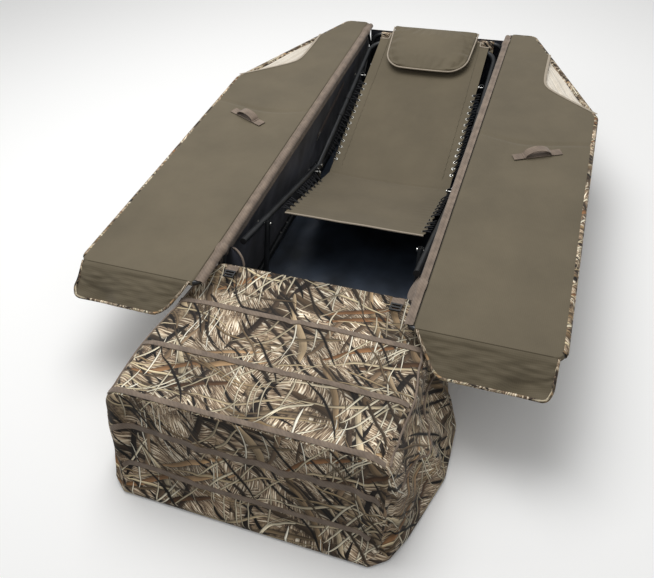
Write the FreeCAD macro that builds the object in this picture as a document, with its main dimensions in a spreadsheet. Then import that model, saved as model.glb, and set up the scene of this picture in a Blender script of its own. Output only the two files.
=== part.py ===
import FreeCAD, Part
import Sketcher
import math
import os
import re

# A layout field blind: a low fabric shelter that a hunter lies in. A folding steel base carries a
# reclining laced chair, two flip-open doors hinged along the cockpit's long edges, and a fabric
# footbox over a folding foot hoop.
# Frame: +X is the right side seen from the foot end, +Y runs from the foot to the head, +Z is up.
# The origin is the centre of the overall box, at the ground. Lengths are millimetres.

Vector = FreeCAD.Vector
Rotation = FreeCAD.Rotation
Placement = FreeCAD.Placement
SIDES = {"left": -1, "right": 1}
ALONG_X = Rotation(Vector(0, 1, 0), 90)
ALONG_Y = Rotation(Vector(1, 0, 0), -90)
ALONG_Z = Rotation()

os.makedirs("parts", exist_ok=True)
doc = FreeCAD.newDocument("layout_blind")
sheet = doc.addObject("Spreadsheet::Sheet", "dims")

SIZES = {
    # overall
    "half_length": (1175, "origin to each end of the blind"),
    "fit_gap": (0.3, "gap between pieces that lie on each other"),
    "pin_gap": (0.05, "radial clearance of a pin in its hole"),
    # base frame and floor
    "base_half": (335, "centreline of the base tubes from the middle"),
    "base_tube": (22, "base tube diameter"),
    "tube_wall": (1.2, "wall of every steel tube"),
    "base_bend": (45, "bend radius at the base corners"),
    "head_inset": (20, "base tube's centreline in from the head end"),
    "foot_inset": (48, "base tube's centreline in from the foot end"),
    "base_joint_gap": (2, "gap between the two base halves"),
    "insert_length": (120, "length of the joining tube inside the base"),
    "button_offset": (32, "snap button from the base joint"),
    "button_radius": (3.9, "snap button radius"),
    "floor_cloth": (2, "thickness of the floor cloth"),
    "cloth": (3, "thickness of a wall cloth as modelled"),
    # hoops
    "hoop_tube": (19, "hoop tube diameter"),
    "hoop_foot_y": (1075, "head hoop's foot along the blind"),
    "hoop_lean": (16.5, "head hoop's lean towards the head, degrees"),
    "head_hoop_rise": (274, "head hoop's height along its own plane"),
    "hoop_top_half": (300, "hoops' half width at the top"),
    "hoop_bend": (45, "bend radius of the fixed hoops"),
    "cockpit_y": (-524, "cockpit hoop along the blind"),
    "cockpit_hoop_top": (285, "cockpit hoop's top centreline"),
    "foot_hoop_y": (-1060, "foot hoop's pivots along the blind"),
    "foot_pivot_rise": (24, "foot hoop's pivots above the base tubes' centres"),
    "foot_hoop_top": (326, "foot hoop's top centreline"),
    "foot_hoop_half": (360, "foot hoop's half width at the top"),
    "foot_hoop_bend": (80, "bend radius of the foot hoop"),
    "hoop_tail": (7, "foot hoop's end below its pivot"),
    "clamp_width": (32, "hoop clamp across the base tube"),
    "clamp_length": (40, "hoop clamp along the base tube"),
    "cheek": (3, "thickness of a bracket's cheek"),
    "pivot_pin": (3, "radius of the foot hoop's pins"),
    # hinge line and doors
    "hinge_half": (317, "hinge axes from the middle"),
    "hinge_height": (327, "hinge axes above the ground"),
    "door_tube": (16, "door frame tube diameter"),
    "door_bend": (30, "bend radius of the door frames"),
    "door_reach": (410, "door's outer tube from its hinge axis"),
    "door_head_reach": (113, "door's narrow head end from its hinge axis"),
    "door_head_inset": (10, "door frame's head tube in from the head end"),
    "door_shoulder_y": (545, "where the door starts to narrow"),
    "door_foot_y": (-644, "door frame's foot tube"),
    "door_skin": (2.2, "thickness of a door's cloth"),
    "door_margin": (10, "cloth beyond the door frame's centreline"),
    "hinge_clear": (14, "door cloth starts this far from its hinge axis"),
    "window_top_y": (1000, "head end of the see-through corner"),
    "window_side": (192, "head end of the see-through corner from the hinge axis"),
    "window_waist": (227, "see-through corner's inner edge, half way"),
    "window_waist_y": (728, "the same point along the blind"),
    "window_foot_reach": (418, "foot end of the see-through corner from the hinge axis"),
    "skirt_reach": (86, "skirt's length along the blind"),
    "skirt_drop": (72, "skirt's drop below the door"),
    "skirt_inset": (28, "skirt's ends in from the door's edges"),
    "skirt_slant": (70, "skirt's inner end runs out this far towards its hem"),
    "ring_radius": (12.5, "outside radius of a hinge ring"),
    "ring_length": (16, "length of a hinge ring"),
    "collar_half": (14, "half length of a hinge bracket's collar on its hoop"),
    "head_ring_y": (1090, "middle of the head hinge ring"),
    "cockpit_ring_y": (-484, "middle of the cockpit hinge ring"),
    "handle_width": (32, "webbing width of the door handles"),
    "handle_inner": (158, "handle's inner end from the hinge axis"),
    "handle_outer": (312, "handle's outer end from the hinge axis"),
    "handle_foot_y": (214, "handle's inner end along the blind"),
    "handle_head_y": (286, "handle's outer end along the blind"),
    "handle_tab": (40, "sewn length at each end of a handle"),
    "handle_web": (2, "webbing thickness"),
    "handle_rise": (24, "height of the handle loop"),
    # footbox
    "footbox_gap": (4.5, "footbox cloth outside the hoops"),
    "flare": (140, "footbox sides stand out on the ground beyond the walls"),
    "foot_nose": (70, "height of the footbox at its front"),
    "strap_width": (17, "webbing width of the straps on the footbox"),
    "strap_web": (1.6, "thickness of that webbing"),
    # side walls
    "base_clear": (1.5, "side wall outside the base tube"),
    "hoop_clear": (3, "side wall outside the hoops at the ground"),
    "wall_top": (311, "top of the side walls"),
    "wall_lean": (25, "side wall's lean inwards from the floor to its top"),
    "binding_width": (30, "webbing along the wall's top"),
    "zip_start_y": (430, "zip of the flag port: foot end"),
    "zip_start_z": (178, "the same point's height"),
    "zip_end_y": (760, "zip of the flag port: head end"),
    "zip_end_z": (236, "the same point's height"),
    "zip_width": (24, "zip tape width"),
    # chair
    "chair_half": (285, "chair rails from the middle"),
    "rail_tube": (22, "chair rail diameter"),
    "hip_y": (285, "recline pivot along the blind"),
    "hip_z": (134, "recline pivot's height"),
    "seat_angle": (13.7, "seat's rise towards the knees, degrees"),
    "back_angle": (11, "back's rise towards the head, degrees"),
    "seat_rail": (705, "seat rail from the recline pivot to its end"),
    "back_rail": (812, "back rail from the recline pivot to the bow"),
    "back_bend": (80, "bend radius of the back bow"),
    "rail_start": (17, "seat rail's end from the recline pivot"),
    "back_tail": (8, "back rail's end past the recline pivot"),
    "hip_pin": (4, "radius of the recline pins"),
    "leg_tube": (19, "leg and prop tube diameter"),
    "leg_gap": (0.5, "gap between a chair rail and the legs and prop inside it"),
    "front_bolt": (560, "front leg's bolt along the seat rail"),
    "rear_bolt": (70, "rear leg's bolt along the seat rail"),
    "front_leg_run": (105, "front leg's foot in front of its bolt"),
    "rear_leg_run": (30, "rear leg's foot behind its bolt"),
    "bolt_radius": (3, "radius of the leg bolts"),
    "sling_half": (250, "half width of the chair's cloth"),
    "sling_cloth": (2.5, "thickness of the chair's cloth"),
    "seat_front": (445, "seat cloth's front edge from the pivot"),
    "seat_rear": (23, "seat cloth's rear edge behind the pivot"),
    "back_low": (21, "back cloth's lower edge from the pivot"),
    "back_over": (34, "back cloth beyond the bow's centreline"),
    "seat_sag_front": (8, "seat cloth below its rail at the front"),
    "seat_sag_hip": (37, "seat cloth below its rail at the hips"),
    "back_sag_hip": (47, "back cloth below its rail at the hips"),
    "bow_gap": (3, "back cloth above the bow that it lies over"),
    "back_flare": (2, "back cloth's extra rise beyond the bow"),
    "grommet_inset": (10, "grommets in from the cloth's edge"),
    "grommet_outer": (6.4, "grommet's outside radius"),
    "grommet_inner": (4.2, "grommet's hole radius"),
    "seat_lace_start": (94, "first seat grommet from the pivot"),
    "seat_lace_end": (415, "last seat grommet from the pivot"),
    "seat_grommets": (10, "grommets on each side of the seat"),
    "back_grommets": (14, "grommets on each side of the back"),
    "back_lace_start": (84, "first back grommet from the pivot"),
    "back_lace_end": (520, "last back grommet from the pivot"),
    "lace_radius": (1.8, "radius of the elastic lacing"),
    "prop_bolt": (568, "prop's bolt along the back rail"),
    "prop_run": (92, "prop's foot behind its bolt"),
    "prop_bend": (50, "bend radius of the prop"),
    "sleeve_length": (34, "length of the back's tube sleeves"),
    "lower_sleeve": (292, "lower tube sleeve from the pivot"),
    "upper_sleeve": (398, "upper tube sleeve from the pivot"),
    "headrest_half": (186, "half width of the headrest"),
    "headrest_low": (614, "headrest's lower edge from the pivot"),
    "headrest_high": (869, "headrest's upper edge from the pivot"),
    "headrest_thick": (28, "thickness of the headrest"),
    "headrest_round": (90, "radius of the headrest's lower corners"),
    "patch_thick": (1.5, "thickness of the headrest's fastening patch"),
}
for row, (alias, (value, note)) in enumerate(SIZES.items(), start=1):
    sheet.set(f"A{row}", alias)
    sheet.set(f"B{row}", str(value))
    sheet.setAlias(f"B{row}", alias)
    sheet.set(f"C{row}", note)
doc.recompute()

# Heights and places that several pieces share, written as formulas of the sizes above.
SHARED = {
    "base_z": "(floor_cloth + base_tube / 2)",
    "base_top": "(floor_cloth + base_tube)",
    "head_y": "(half_length - head_inset)",
    "foot_y": "(-half_length + foot_inset)",
    "hoop_start": "(floor_cloth + base_tube + 4)",
    "foot_pivot_z": "(floor_cloth + base_tube / 2 + foot_pivot_rise)",
    "door_head_y": "(half_length - door_head_inset)",
    "wall_inside": "(base_half + max(base_tube / 2 + base_clear; hoop_tube / 2 + hoop_clear))",
    "leg_half": "(chair_half - rail_tube / 2 - leg_tube / 2 - leg_gap)",
    "cross_z": "(floor_cloth + leg_tube / 2 + 1)",
    "front_bolt_y": "(hip_y - front_bolt * cos(seat_angle))",
    "front_bolt_z": "(hip_z + front_bolt * sin(seat_angle))",
    "rear_bolt_y": "(hip_y - rear_bolt * cos(seat_angle))",
    "rear_bolt_z": "(hip_z + rear_bolt * sin(seat_angle))",
    "prop_y": "(hip_y + prop_bolt * cos(back_angle))",
    "prop_z": "(hip_z + prop_bolt * sin(back_angle))",
    "prop_length": "(sqrt(prop_run ^ 2 + (prop_z - cross_z) ^ 2))",
    "headrest_floor": "(rail_tube / 2 + bow_gap + sling_cloth + back_flare + patch_thick + 2 * fit_gap)",
}


def bind(text):
    """Turn a formula of size names into one that reads the sheet's cells."""
    for _ in range(3):
        text = re.sub(r"\b[a-z]+(?:_[a-z]+)*\b", lambda m: SHARED.get(m.group(), m.group()), text)
    return re.sub(
        r"\b[a-z]+(?:_[a-z]+)*\b", lambda m: "dims." + m.group() if m.group() in SIZES else m.group(), text
    )


def val(text):
    """A formula's present value."""
    return float(sheet.evalExpression(bind(text)))


def point(*texts):
    return Vector(*(val(text) for text in texts))


def place(obj, x="0", y="0", z="0", turn=None, axis=None, angle=None):
    """Put an object at a bound place, turned by a fixed rotation or by a bound angle about an axis."""
    if angle:
        turn = Rotation(axis, val(angle))
    obj.Placement = Placement(point(x, y, z), turn or Rotation())
    if angle:
        obj.setExpression("Placement.Rotation.Angle", bind(angle))
    for letter, text in (("x", x), ("y", y), ("z", z)):
        obj.setExpression("Placement.Base." + letter, bind(text))
    return obj


def place_on_seat(obj):
    """Seat pieces are made along -Y from the recline pivot, then raised to the seat's angle."""
    return place(obj, "0", "hip_y", "hip_z", axis=Vector(-1, 0, 0), angle="seat_angle")


def place_on_back(obj):
    """Back pieces are made along +Y from the recline pivot, then raised to the back's angle."""
    return place(obj, "0", "hip_y", "hip_z", axis=Vector(1, 0, 0), angle="back_angle")


# ---- pieces made from sketches -------------------------------------------------------------


def rounded_runs(points, radii, closed):
    """The straight runs and tangent arcs of a path whose corners are rounded."""
    count = len(points)
    corners = range(count) if closed else range(1, count - 1)
    arcs = {}
    for i in corners:
        before = (points[i - 1] - points[i]).normalize()
        after = (points[(i + 1) % count] - points[i]).normalize()
        half = before.getAngle(after) / 2
        start = points[i] + before * (radii[i] / math.tan(half))
        end = points[i] + after * (radii[i] / math.tan(half))
        centre = points[i] + (before + after).normalize() * (radii[i] / math.sin(half))
        arcs[i] = (start, centre + (points[i] - centre).normalize() * radii[i], end)
    runs = []
    for i in range(count if closed else count - 1):
        j = (i + 1) % count
        runs.append((arcs[i][2] if i in arcs else points[i], arcs[j][0] if j in arcs else points[j]))
    return runs, arcs


def path_sketch(body, name, role, corners, bends, closed=False):
    """A sketch of straight runs joined by tangent arcs, pinned at its bound corner points."""
    sketch = body.newObject("Sketcher::SketchObject", name)
    plane = next(item for item in body.Origin.OriginFeatures if item.Role == role)
    sketch.AttachmentSupport = [(plane, "")]
    sketch.MapMode = "FlatFace"
    points = [point(u, v, "0") for u, v in corners]
    runs, arcs = rounded_runs(points, [val(bend) for bend in bends], closed)
    lines = [sketch.addGeometry(Part.LineSegment(a, b), False) for a, b in runs]

    def pin(geometry, end, corner, at):
        for kind, text, start in (("DistanceX", corner[0], at.x), ("DistanceY", corner[1], at.y)):
            index = sketch.addConstraint(Sketcher.Constraint(kind, -1, 1, geometry, end, start))
            sketch.setExpression(f"Constraints[{index}]", bind(text))

    for i, (start, middle, end) in arcs.items():
        arc = sketch.addGeometry(Part.Arc(start, middle, end), False)
        first = 1 if (sketch.getPoint(arc, 1) - start).Length < (sketch.getPoint(arc, 2) - start).Length else 2
        sketch.addConstraint(Sketcher.Constraint("Tangent", lines[i - 1], 2, arc, first))
        sketch.addConstraint(Sketcher.Constraint("Tangent", arc, 3 - first, lines[i], 1))
        index = sketch.addConstraint(Sketcher.Constraint("Radius", arc, val(bends[i])))
        sketch.setExpression(f"Constraints[{index}]", bind(bends[i]))
        corner = sketch.addGeometry(Part.Point(points[i]), True)
        pin(corner, 1, corners[i], points[i])
        sketch.addConstraint(Sketcher.Constraint("PointOnObject", corner, 1, lines[i - 1]))
        sketch.addConstraint(Sketcher.Constraint("PointOnObject", corner, 1, lines[i]))
    if not closed:
        pin(lines[0], 1, corners[0], points[0])
        pin(lines[-1], 2, corners[-1], points[-1])
    return sketch


def bent_tube(name, role, corners, bend, outer, closed=False):
    """A round steel tube bent along a flat path: an outer pipe, then its bore."""
    body = doc.addObject("PartDesign::Body", name)
    spine = path_sketch(body, name + "_path", role, corners, [bend] * len(corners), closed)
    doc.recompute()
    edges = [f"Edge{i + 1}" for i in range(len(spine.Shape.Edges))]
    for kind, text in (("Additive", outer), ("Subtractive", f"{outer} - 2 * tube_wall")):
        profile = body.newObject("Sketcher::SketchObject", f"{name}_{kind.lower()}_ring")
        profile.AttachmentSupport = [(spine, "Edge1")]
        profile.MapMode = "NormalToEdge"
        profile.MapPathParameter = 0
        ring = profile.addGeometry(Part.Circle(Vector(), Vector(0, 0, 1), val(text) / 2), False)
        profile.addConstraint(Sketcher.Constraint("Coincident", ring, 3, -1, 1))
        index = profile.addConstraint(Sketcher.Constraint("Diameter", ring, val(text)))
        profile.setExpression(f"Constraints[{index}]", bind(text))
        pipe = body.newObject(f"PartDesign::{kind}Pipe", f"{name}_{kind.lower()}_pipe")
        pipe.Profile = profile
        pipe.Spine = (spine, edges)
        body.Tip = pipe
        doc.recompute()
    return body


def plate(name, corners, bends, thick):
    """A flat plate with rounded corners, padded up from its own XY plane."""
    body = doc.addObject("PartDesign::Body", name)
    outline = path_sketch(body, name + "_outline", "XY_Plane", corners, bends, closed=True)
    pad = body.newObject("PartDesign::Pad", name + "_pad")
    pad.Profile = outline
    pad.setExpression("Length", bind(thick))
    body.Tip = pad
    return body


# ---- pieces made from primitives and booleans ----------------------------------------------


def rod(name, radius, length, x="0", y="0", z="0", turn=ALONG_Z):
    """A round bar that starts at a bound place and runs along its turned Z axis."""
    bar = doc.addObject("Part::Cylinder", name)
    bar.setExpression("Radius", bind(radius))
    bar.setExpression("Height", bind(length))
    return place(bar, x, y, z, turn)


def join(kind, name, pieces):
    """A fuse or a compound of several objects."""
    if len(pieces) == 1:
        return pieces[0]
    group = doc.addObject("Part::" + kind, name)
    if kind == "Compound":
        group.Links = pieces
    else:
        group.Shapes = pieces
    return group


def cut(name, base, tools):
    result = doc.addObject("Part::Cut", name)
    result.Base = base
    result.Tool = join("MultiFuse", name + "_tools", tools)
    return result


def straight_tube(name, outer, length, x="0", y="0", z="0", turn=ALONG_Z):
    wall = rod(name + "_outside", f"{outer} / 2", length, x, y, z, turn)
    bore = rod(name + "_bore", f"{outer} / 2 - tube_wall", length, x, y, z, turn)
    return cut(name, wall, [bore])


def feature(name, shape):
    """A piece whose shape is worked out below from the sheet's values."""
    piece = doc.addObject("Part::Feature", name)
    piece.Shape = shape
    return piece


# ---- shape functions for the pieces that no sketch or primitive fits -------------------------


def bar_between(start, end, radius):
    return Part.makeCylinder(radius, (end - start).Length, start, end - start)


def block(low, high):
    return Part.makeBox(high.x - low.x, high.y - low.y, high.z - low.z, low)


def polygon_face(points):
    return Part.Face(Part.makePolygon(points + [points[0]]))


def mirrored(shape):
    return shape.mirror(Vector(), Vector(1, 0, 0))


def both_sides(shape):
    """The right-hand piece and its mirror image, as separate solids."""
    return Part.Compound([mirrored(shape), shape])


def on_side(shape, side):
    return shape if side == "right" else mirrored(shape)


def rounded_wire(points, radii):
    """A closed flat outline with rounded corners."""
    runs, arcs = rounded_runs(points, radii, True)
    edges = []
    for i, (a, b) in enumerate(runs):
        edges += [Part.Arc(*arcs[i]).toShape(), Part.LineSegment(a, b).toShape()]
    return Part.Wire(Part.__sortEdges__(edges))


NODES = {}


def node(name, obj):
    """Name a finished sub-part: its Label is its file's name."""
    obj.Label = name
    NODES[name] = obj
    return obj


# ---- base frame and floor ------------------------------------------------------------------

node(
    "floor_cloth",
    plate(
        "floor",
        [
            ("-wall_inside - 4", "-half_length + 4"),
            ("-wall_inside - 34", "foot_hoop_y - 82"),
            ("-wall_inside - 4", "cockpit_y"),
            ("-wall_inside - 4", "half_length - 6"),
            ("wall_inside + 4", "half_length - 6"),
            ("wall_inside + 4", "cockpit_y"),
            ("wall_inside + 34", "foot_hoop_y - 82"),
            ("wall_inside + 4", "-half_length + 4"),
        ],
        ["8", "20", "300", "6", "6", "300", "20", "8"],
        "floor_cloth",
    ),
)

# Two U tubes meet in the middle of the blind over joining tubes with spring buttons.
button_holes = {}
for half, sign, end in (("head", "", "head_y"), ("foot", "-", "foot_y")):
    start = f"{sign}base_joint_gap / 2"
    tube = bent_tube(
        f"base_{half}",
        "XY_Plane",
        [("-base_half", start), ("-base_half", end), ("base_half", end), ("base_half", start)],
        "base_bend",
        "base_tube",
    )
    place(tube, z="base_z")
    holes = [
        rod(f"base_{half}_hole_{i}", "button_radius + 0.2", "base_tube", x, f"{sign}button_offset", "base_z")
        for i, x in enumerate(("-base_half", "base_half"))
    ]
    button_holes[half] = holes
    node(f"base_frame_{half}", cut(f"drilled_base_{half}", tube, holes))

inserts = [
    straight_tube(
        f"insert_{side}",
        "(base_tube - 2 * tube_wall - 0.2)",
        "insert_length",
        f"{sign} * base_half",
        "-insert_length / 2",
        "base_z",
        ALONG_Y,
    )
    for side, sign in SIDES.items()
]
insert_holes = [
    rod(f"insert_hole_{i}", "button_radius + 0.2", "base_tube", x, y, "base_z")
    for i, (x, y) in enumerate(
        (x, y) for x in ("-base_half", "base_half") for y in ("-button_offset", "button_offset")
    )
]
node("base_inserts", cut("drilled_inserts", join("Compound", "insert_pair", inserts), insert_holes))

buttons = []
for i, (x, y) in enumerate((x, y) for x in ("-base_half", "base_half") for y in ("-button_offset", "button_offset")):
    shank = rod(f"button_shank_{i}", "button_radius", "base_tube / 2 - 4", x, y, "base_z + 6.2")
    flange = rod(f"button_flange_{i}", "button_radius + 1.2", "1.4", x, y, "base_z + 4.8")
    buttons.append(join("MultiFuse", f"button_{i}", [shank, flange]))
node("snap_buttons", join("Compound", "button_set", buttons))

# ---- hoops and their clamps ----------------------------------------------------------------


def hoop_corners(rise, top_half):
    return [("-base_half", "0"), (f"-{top_half}", rise), (top_half, rise), ("base_half", "0")]


head_hoop = bent_tube(
    "head_hoop_bow", "XZ_Plane", hoop_corners("head_hoop_rise", "hoop_top_half"), "hoop_bend", "hoop_tube"
)
place(head_hoop, "0", "hoop_foot_y", "hoop_start", axis=Vector(-1, 0, 0), angle="hoop_lean")
node("head_hoop", head_hoop)

cockpit_hoop = bent_tube(
    "cockpit_hoop_bow",
    "XZ_Plane",
    hoop_corners("cockpit_hoop_top - hoop_start", "hoop_top_half"),
    "hoop_bend",
    "hoop_tube",
)
place(cockpit_hoop, "0", "cockpit_y", "hoop_start")
node("cockpit_hoop", cockpit_hoop)

LEAN = Rotation(Vector(-1, 0, 0), val("hoop_lean"))
HOOPS = {
    "head": (point("base_half", "hoop_foot_y", "hoop_start"), LEAN, "head_hoop_rise", "head_ring_y"),
    "cockpit": (
        point("base_half", "cockpit_y", "hoop_start"),
        Rotation(),
        "(cockpit_hoop_top - hoop_start)",
        "cockpit_ring_y",
    ),
}


def leg_point(hoop, rise):
    """A point on the right-hand leg's centreline, this far up the hoop's own plane."""
    foot, lean, height, _ = HOOPS[hoop]
    shift = (val("hoop_top_half") - val("base_half")) * rise / val(height)
    return foot + lean.multVec(Vector(shift, 0, rise))


def leg_bar(hoop, low, high, radius):
    return bar_between(leg_point(hoop, low), leg_point(hoop, high), radius)


base_bar = bar_between(
    point("base_half", "-half_length", "base_z"), point("base_half", "half_length", "base_z"), val("base_tube / 2 + 0.1")
)
clamps = []
for hoop, (foot, *_rest) in HOOPS.items():
    saddle = block(
        Vector(foot.x - val("clamp_width") / 2, foot.y - val("clamp_length") / 2, val("floor_cloth + fit_gap")),
        Vector(foot.x + val("clamp_width") / 2, foot.y + val("clamp_length") / 2, val("hoop_start - 1")),
    )
    saddle = saddle.cut(block(Vector(foot.x + val("base_tube / 2 - 0.8"), foot.y - 100, 0), foot + Vector(50, 100, 50)))
    socket = leg_bar(hoop, -3.5, 16, val("hoop_tube / 2 + cheek"))
    clamp = saddle.fuse(socket).cut([base_bar, leg_bar(hoop, -1, 60, val("hoop_tube / 2 + pin_gap"))])
    open_side = block(
        Vector(foot.x + val("hoop_tube / 2 - 1"), foot.y - 100, val("base_top - 3")), foot + Vector(50, 100, 60)
    )
    clamps.append(both_sides(clamp.cut(open_side)))
node("hoop_clamps", feature("clamp_set", Part.Compound(clamps)))

# Each hinge bracket has a ring that the door's inner tube turns in, and a collar on the hoop's leg.
hinge = point("hinge_half", "0", "hinge_height")
door_bar = bar_between(
    point("hinge_half", "-half_length", "hinge_height"),
    point("hinge_half", "half_length", "hinge_height"),
    val("door_tube / 2 + pin_gap"),
)
COLLAR_RISE = 0.72  # share of its hoop's rise at which a bracket's collar sits
for hoop, name in (("head", "head_hinge_brackets"), ("cockpit", "cockpit_hinge_brackets")):
    middle = val(HOOPS[hoop][3])
    half_ring = val("ring_length / 2")
    rise = val(HOOPS[hoop][2]) * COLLAR_RISE
    ring = bar_between(
        hinge + Vector(0, middle - half_ring, 0), hinge + Vector(0, middle + half_ring, 0), val("ring_radius")
    )
    collar = leg_bar(hoop, rise - val("collar_half"), rise + val("collar_half"), val("hoop_tube / 2 + cheek"))
    low, high = leg_point(hoop, rise - val("collar_half - 3")), leg_point(hoop, rise + val("collar_half - 3"))
    inner = val("hinge_half - ring_radius + 1.5")
    near = half_ring if high.y > middle else -half_ring
    arm = polygon_face(
        [
            Vector(inner, middle + near, hinge.z),
            Vector(inner, high.y, high.z),
            Vector(inner, low.y, low.z),
            Vector(inner, middle - near, hinge.z),
        ]
    ).extrude(Vector(val("2 * cheek"), 0, 0))
    bracket = ring.fuse([collar, arm]).cut(door_bar)
    bracket = bracket.cut(leg_bar(hoop, rise - 60, rise + 45, val("hoop_tube / 2 + pin_gap")))
    node(name, feature(name + "_pair", both_sides(bracket)))

# The foot hoop folds towards the head on two pins in U brackets on the base tubes.
foot_hoop = bent_tube(
    "foot_hoop_bow",
    "XZ_Plane",
    [
        ("-base_half", "foot_pivot_z - hoop_tail"),
        ("-foot_hoop_half", "foot_hoop_top"),
        ("foot_hoop_half", "foot_hoop_top"),
        ("base_half", "foot_pivot_z - hoop_tail"),
    ],
    "foot_hoop_bend",
    "hoop_tube",
)
place(foot_hoop, "0", "foot_hoop_y", "0")
pin_hole = rod(
    "foot_hoop_hole",
    "pivot_pin + pin_gap",
    "2 * foot_hoop_half",
    "-foot_hoop_half",
    "foot_hoop_y",
    "foot_pivot_z",
    ALONG_X,
)
node("foot_hoop", cut("drilled_foot_hoop", foot_hoop, [pin_hole]))

slot_half = val("hoop_tube / 2 + 2")
cheek_out = slot_half + val("cheek")
pivot = point("base_half", "foot_hoop_y", "foot_pivot_z")
bracket = block(
    Vector(pivot.x - cheek_out, pivot.y - 15, val("floor_cloth + fit_gap")),
    Vector(pivot.x + cheek_out, pivot.y + 15, pivot.z + 9),
)
bracket = bracket.cut(
    block(
        Vector(pivot.x - slot_half, pivot.y - 20, val("base_top + 0.5")),
        Vector(pivot.x + slot_half, pivot.y + 20, pivot.z + 20),
    )
)
pin = bar_between(pivot - Vector(cheek_out + 1, 0, 0), pivot + Vector(cheek_out, 0, 0), val("pivot_pin"))
pin_head = bar_between(pivot - Vector(cheek_out + 3.2, 0, 0), pivot - Vector(cheek_out + 0.2, 0, 0), 5.5)
bore = bar_between(pivot - Vector(60, 0, 0), pivot + Vector(60, 0, 0), val("pivot_pin + pin_gap"))
node("foot_hoop_brackets", feature("foot_bracket_pair", both_sides(bracket.cut([base_bar, bore]))))
node("foot_hoop_pins", feature("foot_pin_pair", both_sides(pin.fuse(pin_head))))

# ---- footbox -------------------------------------------------------------------------------

HOOP_SKIN = "hoop_tube / 2 + footbox_gap"
STATIONS = [
    # along Y, half width at the ground, half width at the top, top height, corner radius
    ("cockpit_y + 10", "wall_inside + 3", f"hoop_top_half + {HOOP_SKIN} + 1", f"cockpit_hoop_top + {HOOP_SKIN}", 45),
    ("cockpit_y - 76", "wall_inside + 0.7 * flare", f"hoop_top_half + {HOOP_SKIN} + 4", "cockpit_hoop_top + 15", 50),
    ("cockpit_y - 176", "wall_inside + 0.97 * flare", f"hoop_top_half + {HOOP_SKIN} + 8", "cockpit_hoop_top + 17", 55),
    ("foot_hoop_y + 186", "wall_inside + flare", f"foot_hoop_half - {HOOP_SKIN} - 1", "foot_hoop_top - 4", 65),
    ("foot_hoop_y - 14", "wall_inside + 0.6 * flare", f"foot_hoop_half + {HOOP_SKIN}", f"foot_hoop_top + {HOOP_SKIN}", 60),
    ("foot_hoop_y - 82", "wall_inside + 0.37 * flare", "foot_hoop_half + 14", "foot_hoop_top - 171", 50),
    ("-half_length + cloth", "wall_inside + 0.08 * flare", "foot_hoop_half - 22", "foot_nose - cloth", 30),
]


def footbox_section(station, offset, bottom):
    """The footbox's outline across the blind, moved outwards by an offset."""
    along, low_half, top_half, top, bend = station
    y, low, high, crown = (val(text) for text in (along, low_half, top_half, top))
    points = [
        Vector(-low - offset, y, bottom),
        Vector(-high - offset, y, crown + offset),
        Vector(high + offset, y, crown + offset),
        Vector(low + offset, y, bottom),
    ]
    runs, arcs = rounded_runs(points, [0, bend, bend, 0], False)
    edges = []
    for i, (a, b) in enumerate(runs):
        edges.append(Part.LineSegment(a, b).toShape())
        if i + 1 in arcs:
            edges.append(Part.Arc(*arcs[i + 1]).toShape())
    edges.append(Part.LineSegment(points[-1], points[0]).toShape())
    return Part.Wire(edges)


def footbox_loft(offset, bottom, stretch):
    """The footbox as a solid; the front section moves out by the offset and the rear by a stretch."""
    sections = [footbox_section(station, offset, bottom) for station in STATIONS]
    sections[-1].translate(Vector(0, -offset, 0))
    if stretch:
        rear = footbox_section(STATIONS[0], offset, bottom)
        rear.translate(Vector(0, stretch, 0))
        sections.insert(0, rear)
    return Part.makeLoft(sections, True, True)


ground = val("floor_cloth + fit_gap")
cloth = val("cloth")
shell = footbox_loft(cloth, ground, 0).cut(footbox_loft(0, ground - 10, 10))
node("footbox_shell", feature("footbox_cloth", shell))

strap_low = cloth + val("fit_gap")
bands = footbox_loft(strap_low + val("strap_web"), 45, 0).cut(footbox_loft(strap_low, 30, 10))
half_strap = val("strap_width") / 2
strap_side = val("foot_hoop_half")
strap_slabs = [
    block(Vector(-500, val(y) - half_strap, val("cockpit_hoop_top - 40")), Vector(500, val(y) + half_strap, 500))
    for y in ("cockpit_y - 156", "foot_hoop_y + 186", "foot_hoop_y - 4")
]
strap_slabs += [
    block(
        Vector(-strap_side, -1300, height - half_strap),
        Vector(strap_side, val("foot_hoop_y - 16"), height + half_strap),
    )
    for height in (val("foot_hoop_top - 76"), val("foot_hoop_top - 196"))
]
node("footbox_straps", feature("strap_set", Part.Compound([bands.common(slab) for slab in strap_slabs])))

# ---- side walls, head wall and their trims --------------------------------------------------


def wall_face_x(height):
    """The right-hand wall's inner face at a height: it leans in towards the hinge line."""
    share = (height - ground) / (val("wall_top") - ground)
    return val("wall_inside") - val("wall_lean") * share


def wall_slab(inner, thick, foot, head, low, high):
    """A slab along the right-hand wall, this far in from the wall's inner face."""
    wires = []
    for height in (low, high):
        x = wall_face_x(height) - inner
        corners = [Vector(x - thick, foot, height), Vector(x, foot, height), Vector(x, head, height)]
        corners.append(Vector(x - thick, head, height))
        wires.append(Part.makePolygon(corners + [corners[0]]))
    return Part.makeLoft(wires, True, True)


wall_foot, wall_head = val("cockpit_y + 14"), val("half_length - 9")
wall = wall_slab(-cloth, cloth, wall_foot, wall_head, ground, val("wall_top"))
trim = wall_slab(
    val("fit_gap"), val("strap_web"), wall_foot + 4, wall_head - 10, val("wall_top - binding_width"), val("wall_top")
)
zip_foot = Vector(wall_face_x(val("zip_start_z")), val("zip_start_y"), val("zip_start_z"))
zip_head = Vector(wall_face_x(val("zip_end_z")), val("zip_end_y"), val("zip_end_z"))
zip_way = (zip_head - zip_foot).normalize()
wall_way = Vector(wall_face_x(100) - wall_face_x(0), 0, 100).normalize()
zip_in = zip_way.cross(wall_way).normalize()
if zip_in.x > 0:
    zip_in = zip_in * -1
zip_across = zip_in.cross(zip_way)


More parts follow.
